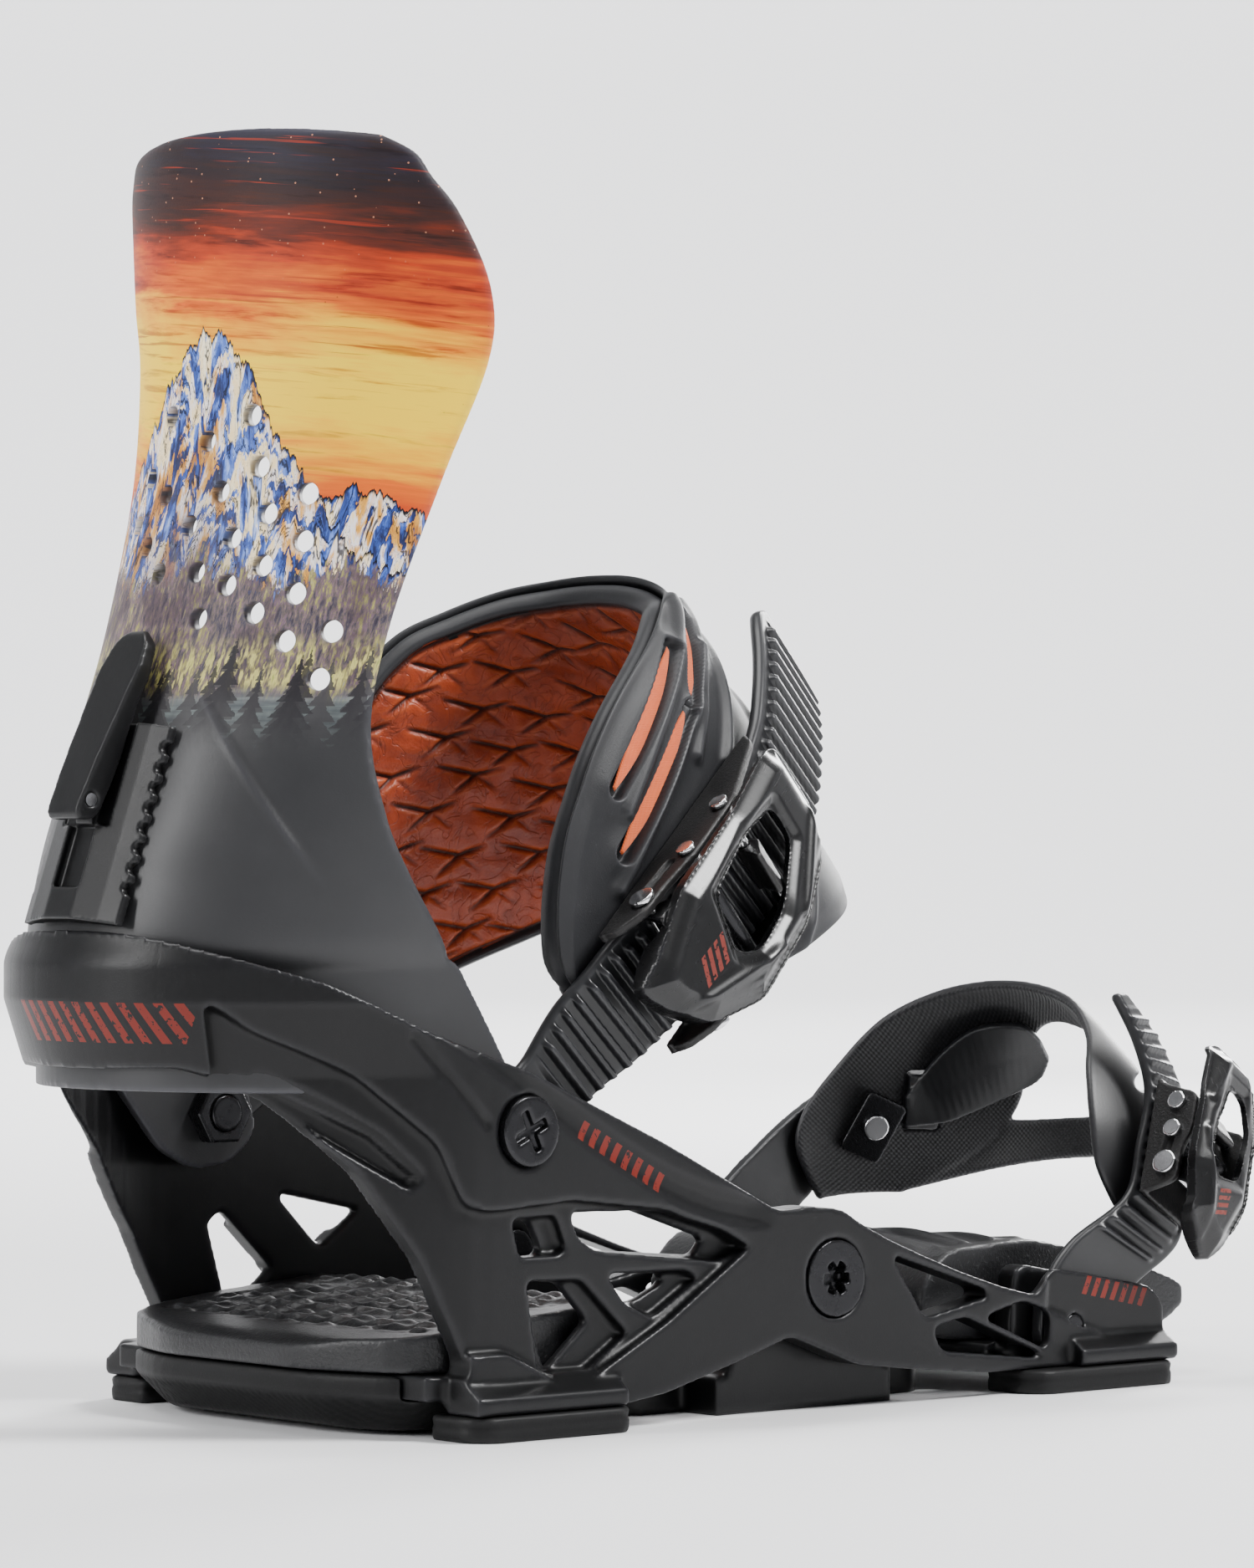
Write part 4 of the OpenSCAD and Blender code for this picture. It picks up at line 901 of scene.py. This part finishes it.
def from_ankle(p):
    """From the strap's own frame, with X along it and Z across it, to the part's frame."""
    c, s = math.cos(TILT), math.sin(TILT)
    x, y, z = p[..., 0], p[..., 1], p[..., 2]
    return np.stack([PIVOT[0] + x * c - z * s, y, PIVOT[2] + x * s + z * c], -1)


def arch(q):
    q = np.radians(q)
    c = np.cos(q)
    return np.stack([ARCH_LEN * np.sin(q) ** 0.62, ARCH_HALF * np.sign(c) * np.abs(c) ** 0.85], -1)


def arch_frame(q):
    d = unit(arch(q + 0.25) - arch(q - 0.25))
    return arch(q), np.stack([-d[:, 1], d[:, 0]], -1)


PAD_EDGES = through(PAD, 640)
PAD_RUN = run_along(arch(PAD_EDGES[:, 0]))


def run_of(q):
    """Distance along the arch, from the pad's far end."""
    return np.interp(q, PAD_EDGES[:, 0], PAD_RUN)


def strap_slab(name, line, out, v, front, back, rim):
    """A slab in the strap's own frame, over each point of a line at each of its heights v."""
    def grid(p, w):
        return from_ankle(np.concatenate([np.repeat(p[:, None], v.shape[1], 1), w[..., None]], -1))
    return slab(name, grid(line, v), grid(out, 0 * v) - PIVOT, front, back, rim)


def pad_piece(name, depth0, depth1, shrink, n, m, rim, relief):
    """A layer of the pad between two depths, drawn in by shrink at its upper and lower edges."""
    run = ends_dense(int(n * DENSE), PAD_RUN[-1], rim) * PAD_RUN[-1]
    q, up, lo = (np.interp(run, PAD_RUN, edge) for edge in PAD_EDGES.T)
    t = ends_dense(int(m * DENSE), 80, rim)
    v = (lo + shrink)[:, None] + t * (up - lo - 2 * shrink)[:, None]
    centre, out = arch_frame(q)
    half = (depth1 - depth0) / 2
    front, back = relief(run[:, None] + 0 * v, v, half)
    return strap_slab(name, centre - out * (depth0 + depth1) / 2, out, v, front, back, rim)


def both_halves(lines):
    """Lines over the pad, given by angle and height at both ends, with their mirror images."""
    lines = lines + [(180 - a0, v0, 180 - a1, v1) for a0, v0, a1, v1 in lines]
    return [((run_of(a0), v0), (run_of(a1), v1)) for a0, v0, a1, v1 in lines]


INLAYS = both_halves([(135, 42.5, 159.5, 34), (140.5, 30.5, 163, 22.5), (121, 41, 138, 31), (127, -8, 142, -24)])
RIBS = both_halves([(118, 46, 160, 28.5), (126, 35, 165.5, 17), (112, 40, 144, 22), (104, 30, 138, 14),
                    (104, 12, 130, -6), (116, -14, 146, -32)])


def exo_relief(u, v, half):
    """Slots for the strips, raised lips round them and long slanting ribs between."""
    front = np.full_like(u, half)
    for a, b in INLAYS:
        front += 1.5 * groove(u, v, a, b, 4.4) - 3.4 * rise(groove(u, v, a, b, 2.6), 0.35, 0.75)
    for a, b in RIBS:
        front += 1.6 * groove(u, v, a, b, 1.7)
    hem = np.minimum(v - v[:, :1], v[:, -1:] - v)
    return np.maximum(front - 0.9 * rise(5.5 - hem, 0, 5.5), -0.2), half


def liner_relief(u, v, half):
    """Overlapping embossed scales on the face against the boot, each with three creases at a corner."""
    deep, plane = np.zeros_like(u), np.zeros_like(u)
    # The pattern's own axes lie level and upright as the strap stands
    across = 0.586 * u - 0.474 * v
    up = 0.629 * u + 0.777 * v
    pitch, row = 14.5, 8.8
    for j in range(-6, 34):
        for i in range(-4, 18):
            x0 = (i + 0.5 * (j % 2)) * pitch + 1.6 * math.sin(i * 1.7 + j)
            y0 = j * row + 1.1 * math.sin(i * 2.3 + j * 1.1)
            near = (np.abs(across - x0) < 13) & (np.abs(up - y0) < 10)
            if not near.any():
                continue
            x, y = across[near], up[near]
            arms = [(1.0, (x0 - 9.0, y0 + 1.6)), (0.9, (x0 + 5.2, y0 + 3.0)), (0.95, (x0 - 5.6, y0 - 5.6)),
                    (0.4, (x0 + 4.5, y0 - 3.6))]
            for depth, end in arms:
                deep[near] = np.maximum(deep[near], depth * groove(x, y, (x0, y0), end, 0.62, 0.7))
            swell = np.exp(-(((x - x0 + 3.0) / 6.0) ** 2 + ((y - y0 + 3.6) / 3.4) ** 2))
            plane[near] = np.maximum(plane[near], swell)
    edge = np.minimum(v - v[:, :1], v[:, -1:] - v)
    inside = rise(edge, 3.2, 5.4)
    roll = 1.1 * np.exp(-((edge - 1.7) / 1.2) ** 2) - 0.8 * np.exp(-((edge - 3.5) / 0.6) ** 2)
    wrinkle = 0.12 * np.sin(u * 0.9 + 2.2 * np.sin(v * 0.21)) * np.sin(v * 0.7 + np.sin(u * 0.33))
    back = half + inside * (0.9 * plane - 1.6 * deep + wrinkle) + roll
    return half, back


def trim_rim(o, material, depth):
    """Gives the faces near the pad's rim a second material."""
    co = points(o)
    rel = co - PIVOT
    c, s = math.cos(TILT), math.sin(TILT)
    v = -rel[:, 0] * s + rel[:, 2] * c
    run = rel[:, 0] * c + rel[:, 2] * s
    ang = np.degrees(np.arctan2(np.maximum(run, 0) / ARCH_LEN, co[:, 1] / ARCH_HALF))
    base = arch(PAD_EDGES[:, 0])
    near = np.degrees(np.arctan2(base[:, 0] / ARCH_LEN, base[:, 1] / ARCH_HALF))
    up, lo = np.interp(ang, near, PAD_EDGES[:, 1]), np.interp(ang, near, PAD_EDGES[:, 2])
    # Beside the boot the distance along the strap tells more than the angle
    for beside, part in ((co[:, 1] < -32, slice(None, 320, -1)), (co[:, 1] > 32, slice(0, 320))):
        up = np.where(beside, np.interp(run, base[part, 0], PAD_EDGES[part, 1]), up)
        lo = np.where(beside, np.interp(run, base[part, 0], PAD_EDGES[part, 2]), lo)
    near_end = run - base[-1, 0]
    far_end = run - base[0, 0]
    rim = np.minimum(np.minimum(up - v, v - lo), np.where(co[:, 1] < 0, near_end, far_end))
    o.data.materials.append(material)
    index = np.array([int(rim[list(p.vertices)].mean() < depth) for p in o.data.polygons], np.int32)
    o.data.polygons.foreach_set("material_index", index)
    o.data.update()


exo = pad_piece("ankle_exo_body", 0.0, EXO_T, 0.0, 640, 190, 1.1, exo_relief)
done(exo, "ankle_exo", EXO)
liner = pad_piece("ankle_liner_body", EXO_T + GAP, EXO_T + GAP + LINER_T, 0.6, 620, 190, 2.4, liner_relief)
mark_creases(liner)
done(liner, "ankle_liner", LEATHER, 4.0)
trim_rim(liner, EXO, 3.4)


def inlay_strips():
    """A slim crowned strip of cloth in each slot."""
    strips = []
    t = np.linspace(0, 1, 50)
    w = 0.3 + 2.4 * np.sin(math.pi * np.clip(t, 0.02, 0.98)) ** 0.8
    for (u0, v0), (u1, v1) in INLAYS:
        centre, out = arch_frame(np.interp(u0 + (u1 - u0) * t, PAD_RUN, PAD_EDGES[:, 0]))
        v = (v0 + (v1 - v0) * t)[:, None] + np.linspace(-1, 1, 12) * w[:, None]
        strips.append(strap_slab("strip", centre + out * -0.35, out, v, 0.35, 0.3, 0.4))
    return shade(join(strips, "ankle_inlay_body"))


done(inlay_strips(), "ankle_inlay", INLAY)

STRAP_PATH = [(-13, 52), (0, 52), (18, 52), (27, 52.6), (36, 54.9), (48, 55.8), (60, 55.6), (84, 52.4), (107, 45.6),
              (122, 39), (137, 30), (150, 20), (156, 15)]
LADDER_UP = [(-12, 3), (-11, 6), (-6, 8), (0, 8), (14, 6.5), (30, 11), (44, 13), (98, 12.5), (120, 15.5),
             (144, 22.5), (150, 23.5), (153, 20)]
LADDER_LOW = [(-12, -3), (-11, -6), (-6, -8), (0, -8), (14, -11), (44, -12), (98, -13), (120, -11),
              (144, -5), (150, -3.2), (153, 1)]


def ankle_ladder():
    """The toothed strap, from the pivot through the buckle to its free tip."""
    path = through(STRAP_PATH, 1200)
    run = run_along(path)
    start, stop = np.interp([-11.8, 153], path[:, 0], run)
    want = start + ends_dense(int(700 * DENSE), stop - start, 1.5) * (stop - start)
    p = np.stack([np.interp(want, run, c) for c in path.T], 1)
    d = unit(np.gradient(p, axis=0))
    out = np.stack([-d[:, 1], d[:, 0]], 1)
    kernel = np.hanning(41)
    kernel /= kernel.sum()
    up, low = (np.convolve(np.pad(np.interp(p[:, 0], *np.array(edge, float).T), 20, mode="edge"), kernel, "valid")
               for edge in (LADDER_UP, LADDER_LOW))
    v = low[:, None] + ends_dense(46, 26, 1.3) * (up - low)[:, None]
    x = p[:, :1]
    tooth = np.clip(1.5 * np.sin((want[:, None] + v * 0.10) * 2 * math.pi / 4.1), 0, 1)
    above, below = up[:, None] - v, v - low[:, None]
    field = rise(x, 46, 48) * rise(above, 2.6, 4.0) * rise(below, -0.4, 0.6) * rise(150 - x, 0, 3)
    stem = rise(x, 15, 20) * rise(48 - x, 0, 2) * rise(above, 0.8, 3.4) * rise(below, 0.2, 1.2)
    relief = tooth * (1.6 * field + 1.8 * stem)
    o = strap_slab("ankle_ladder_body", p * (1, -1), out * (1, -1), v, 1.6 + relief, 1.6, 1.2)
    cut_by(o, rod("bore", (PIVOT[0], -40, PIVOT[2]), (PIVOT[0], -60, PIVOT[2]), 4.05, 48))
    return done(o, "ankle_ladder", LADDER)


ankle_ladder()
moulded("ankle_strap_far", 0.5, 6, LADDER)
moulded("ankle_strap_screw", 0.35, 2, BLACK_METAL)

# ---------------------------------------------------------------- buckles

LEVER_FACE = np.array([[-45, 6], [-22, 15.5], [23, 16.5], [31, 14], [32, -2], [27, -11], [8, -17],
                       [-18, -18.5], [-34, -12], [-41, -3]], float)
FINGER_OPENING = np.array([[-15, 8], [3, 10.5], [16, 8], [16, -1], [0, -9], [-12, -10], [-19, -5]], float)


def turn(angle, axis):
    return Matrix.Rotation(math.radians(angle), 4, axis)


# Each buckle's own frame, with X up the strap, Y outwards and Z across; its lever's scale along X, shift
# and scale across
BUCKLE_FRAMES = {
    "ankle": (np.array(Matrix.Translation(PIVOT.tolist()) @ turn(-39, "Y") @ Matrix.Translation((80, -49.6, 0))
                       @ turn(11, "Z") @ Matrix.Scale(-1, 4, (0, 1, 0))), 1.0, 0.0, 1.0),
    "toe": (np.array(Matrix.Translation((112.4, -59, 51.6)) @ turn(14, "Z") @ turn(-7, "X") @ turn(29, "Y")
                     @ turn(180, Vector((1, 0, 1)))), 0.7, 4.8, 0.72)}
# Half the base's width, and the two ends of the slot in its side plates
BUCKLE_BASES = {"ankle": (16.5, (-22.0, 5.4), (-13.0, 6.2)), "toe": (12.0, (-6.0, 5.4), (-1.6, 6.2))}


def lever(end):
    """A glossy shell with bevelled sides, a recess round the finger opening and deeper skirts."""
    place, k, shift, wide = BUCKLE_FRAMES[end]
    o = rounded(copy_of(end + "_lever", end + "_lever_body"), 0.35, 3)
    co, no = points(o), normals(o)
    local = (co - place[:3, 3]) @ place[:3, :3]
    up = no @ place[:3, 1]
    x, z = (local[:, 0] - shift) / k, local[:, 2] / wide
    rim = inside_of(x, z, LEVER_FACE) * min(k, wide)
    hole = -inside_of(x, z, FINGER_OPENING) * min(k, wide)
    over = rise(local[:, 1], 8.0, 12.0)
    top = rise(up, -0.2, 0.5)
    bevel = 2.2 * rise(5.0 - rim, 0, 5.0) + 1.3 * rise(3.4 - hole, 0, 3.4)
    ends = rise(np.abs(x + 4), 26, 32)
    skirt = (0.9 + 3.4 * ends) * rise(3.0 - rim, 0, 1.2)
    crease = groove(x, z, (-40, -4), (-6, -14), 1.4) + groove(x, z, (6, -14), (27, -2), 1.4)
    drop = over * (top * (bevel - 0.8 * crease * k) + (1 - top) * skirt * k)
    move_to(o, co - place[:3, 1] * drop[:, None])
    set_attribute(o, "face_at", np.stack([x, z, top * rise(rim, 1, 2)], 1))
    return done(o, end + "_lever", GLOSS, 4.0)


def base_shape(end):
    """A slot is pressed into each side plate between the axles."""
    place = BUCKLE_FRAMES[end][0]
    half, a, b = BUCKLE_BASES[end]

    def shape(co, no):
        x, y, z = ((co - place[:3, 3]) @ place[:3, :3]).T
        slot = rise(groove(x, y, a, b, 1.3), 0.3, 0.7)
        press = 0.9 * slot * rise(np.abs(z), half - 0.9, half - 0.4) * np.sign(z)
        return co - place[:3, 2] * press[:, None]
    return shape


for end in ("ankle", "toe"):
    moulded(end + "_buckle_base", 0.35, 3, BASE, base_shape(end))
    moulded(end + "_buckle_rivets", 0.25, 2, CHROME)
    moulded(end + "_pawl", 0.4, 2, BLACK_METAL)
    lever(end)
    moulded(end + "_release", 0.3, 3, BASE)

# ---------------------------------------------------------------- toe strap

CAP_REAR = [
    [102, 51, 37], [96, 52, 49], [97, 51, 58], [104, 47, 69], [110, 37, 81], [114, 22, 88], [116, 5, 91],
    [117, -10, 90.5], [115, -24, 87], [110, -34, 80], [102, -42, 72], [97, -48, 61], [96, -51, 50],
    [100, -53, 40]]
CAP_FRONT = [
    [126, 46.5, 38], [138, 39, 45], [145, 31, 53], [147.5, 26, 61.5], [143.5, 20, 72], [138.5, 10, 79.5],
    [132, -4, 82], [128, -18, 80], [122, -29, 77], [120, -37, 74], [121, -44, 66], [119, -49.5, 57],
    [114, -52.5, 48], [109, -53.5, 42]]
LOW_TOP = [[132, 43, 50], [143, 34, 55], [149, 20, 56], [149, 0, 57.5], [143, -20, 58],
           [132, -36, 58], [120, -46, 57], [112, -50, 54]]
LOW_BOTTOM = [[124, 47, 37.5], [141, 37, 42], [148, 20, 45.5], [149.5, 0, 47.5], [144, -21, 48],
              [132, -38, 47], [118, -48, 45], [106, -53, 42]]
CROWN_WIDTH = 18.0


def block_at(name, place, half):
    """A box of half sizes, placed by a matrix."""
    corners = [place @ Vector((x * half[0], y * half[1], z * half[2]))
               for x in (-1, 1) for y in (-1, 1) for z in (-1, 1)]
    faces = [(0, 1, 3, 2), (4, 6, 7, 5), (0, 4, 5, 1), (2, 3, 7, 6), (0, 2, 6, 4), (1, 5, 7, 3)]
    return tidy(add(name, [list(c) for c in corners], faces))


def strip(name, edge_a, edge_b, n, m, thick, crown, rim, relief=None):
    """A rounded band between two edges, whose outer face bulges by crown."""
    a, b = through(edge_a, n), through(edge_b, n)
    t = ends_dense(m, np.linalg.norm(a - b, axis=1).mean(), rim)
    flat = a[:, None] * (1 - t)[:, None] + b[:, None] * t[:, None]
    out = unit(np.cross(np.gradient((a + b) / 2, axis=0), b - a))
    bulge = crown * np.linalg.norm(a - b, axis=1)[:, None] / CROWN_WIDTH * (1 - (2 * t - 1) ** 2)
    surface = flat + out[:, None] * (bulge[..., None] - thick / 2)
    normal = unit(np.cross(np.gradient(surface, axis=0), np.gradient(surface, axis=1)))
    normal *= np.sign((normal * out[:, None]).sum(-1, keepdims=True))
    extra = relief(t, run_along(surface[:, len(t) // 2])[:, None]) if relief else 0
    return slab(name, surface, normal, thick / 2 + extra, thick / 2, rim)


def toe_cap():
    upper = strip("cap_upper", CAP_REAR, CAP_FRONT, 300, 60, 2.2, 1.4, 1.0)
    lower = strip("cap_lower", LOW_TOP, LOW_BOTTOM, 240, 36, 2.2, 1.0, 1.0)
    o = join([upper, lower], "toe_cap_body")
    tongue = Matrix.Translation((126.5, 38.9, 60.5)) @ turn(-27, "Z") @ turn(15, "X")
    slot = block_at("slot", tongue, (4.6, 8, 7.6))
    hole = rod("hole", (110, -52, 68), (124, -38, 68), 2.0)
    cut_by(o, join([slot, hole], "openings"))
    rounded(o, 0.55, 5)
    co, no = points(o), normals(o)
    centre = np.array([112.0, 0.0, 30.0])
    facing = (no * (centre - co)).sum(1) / np.linalg.norm(centre - co, axis=1)
    set_attribute(o, "inner", rise(facing, 0.0, 0.35))
    return done(o, "toe_cap", TOE_WOVEN)


toe_cap()

NEAR_REAR = [[71, -58.7, 24], [80, -58.7, 33], [96, -60.6, 43], [103.5, -58, 55], [109.5, -55, 67],
             [109.8, -51, 78.5], [107, -46.5, 89.4]]
NEAR_FRONT = [[92, -58.7, 17], [102, -58.7, 23], [113.5, -60.6, 32], [120, -55.6, 46], [125.3, -51.6, 62],
              [121, -47.6, 77], [112.2, -44.6, 89.4]]


def toe_teeth(t, run):
    tooth = np.clip(np.sin(run * 2 * math.pi / 3.7), 0, 1) ** 0.7
    field = rise(t, 0.10, 0.20) * rise(0.98 - t, 0, 0.08) * rise(run, 16, 19) * rise(run[-1, 0] - 4 - run, 0, 3)
    return 1.1 * tooth * field


def toe_ladder():
    band = strip("band", NEAR_FRONT, NEAR_REAR, 420, 44, 2.6, 0.0, 1.0, toe_teeth)
    foot = keep_below(copy_of("toe_ladder", "foot"), 22)
    o = rounded(join([band, foot], "toe_ladder_body"), 0.42, 3)
    return done(o, "toe_ladder", LADDER)


toe_ladder()
TONGUE_HOLES = [((130.2, 31.1, 67.2), (0.61, 0.63, 0.49)), ((133.0, 26.0, 69.8), (0.60, 0.54, 0.59)),
                ((134.1, 19.3, 73.1), (0.63, 0.36, 0.69))]


def toe_strap_far():
    """The far strap; three holes go through the tongue at its end."""
    o = rounded(copy_of("toe_strap_far", "toe_strap_far_body"), 0.4, 6)
    holes = [rod("hole", np.array(at) - 1.6 * np.array(way), np.array(at) + 4.0 * np.array(way), 2.1)
             for at, way in TONGUE_HOLES]
    cut_by(o, join(holes, "holes"))
    return done(o, "toe_strap_far", LADDER)


toe_strap_far()
moulded("toe_cap_plate", 0.35, 3, BLACK_METAL)
moulded("toe_cap_bolt", 0.3, 2, CHROME)

# ---------------------------------------------------------------- studio


def studio():
    """A round pale floor that sweeps up into the backdrop, and an even pale sky."""
    n, m = 64, 40
    bend = np.linspace(0.05, math.pi / 2, 28)
    radius = np.concatenate([np.linspace(0.0, 3.2, 12), 3.2 + 1.6 * np.sin(bend)])
    height = np.concatenate([np.zeros(12), 1.6 * (1 - np.cos(bend))])
    height[-8:] += np.linspace(0, 1.6, 8)
    q = np.linspace(0, 2 * math.pi, n, endpoint=False)
    verts = np.stack([np.outer(radius, np.cos(q)), np.outer(radius, np.sin(q)),
                      np.repeat(height[:, None], n, 1)], -1).reshape(-1, 3) / MM
    faces = [[i * n + j, i * n + (j + 1) % n, (i + 1) * n + (j + 1) % n, (i + 1) * n + j]
             for i in range(m - 1) for j in range(n)]
    o = add("studio_sweep", verts, faces)
    tidy(o, weld=0.01)
    g = Graph("studio_paper")
    o.data.materials.append(g.finish(base=[0.86, 0.86, 0.87], rough=0.9, spec=0.1))
    world = bpy.data.worlds.new("studio")
    bpy.context.scene.world = world
    world.use_nodes = True
    colour, strength = world.node_tree.nodes["Background"].inputs[:2]
    colour.default_value, strength.default_value = (0.95, 0.97, 1.0, 1), 0.19


def area(name, place, target, size, power):
    """A rectangular lamp that points at target, in metres."""
    data = bpy.data.lights.new(name, "AREA")
    data.shape = "RECTANGLE"
    data.size, data.size_y = size
    data.energy = power
    o = link(name, data)
    o.location = place
    o.rotation_mode = "QUATERNION"
    o.rotation_quaternion = (Vector(target) - Vector(place)).to_track_quat("-Z", "Y")


def camera():
    """Looks at the near side from behind and a little above the board."""
    azimuth, pitch = math.radians(41.043), math.radians(0.524)
    look = Vector((math.sin(azimuth) * math.cos(pitch), math.cos(azimuth) * math.cos(pitch), math.sin(pitch)))
    right = Vector((math.cos(azimuth), -math.sin(azimuth), 0))
    up = right.cross(look)
    data = bpy.data.cameras.new("camera")
    data.lens, data.sensor_width = 132.5977, 36
    data.clip_start, data.clip_end = 0.05, 30
    stand = Matrix((right, up, -look)).transposed().to_4x4()
    stand.translation = (-0.85992, -0.98354, 0.12533)
    bpy.context.scene.camera = link("camera", data)
    bpy.context.scene.camera.matrix_world = stand


studio()
area("key", (0.55, -0.95, 1.35), (-0.02, 0, 0.08), (0.36, 0.6), 42)
area("top", (-0.35, 0.35, 1.9), (-0.02, 0, 0.1), (1.0, 1.0), 26)
area("rim", (1.25, 0.55, 0.75), (0, 0, 0.1), (0.26, 1.1), 26)
area("left", (-1.5, 0.35, 0.8), (-0.05, 0, 0.12), (0.20, 1.2), 20)
area("wall", (1.0, 1.15, 2.1), (2.7, 3.1, 0.7), (1.6, 1.0), 210)
camera()
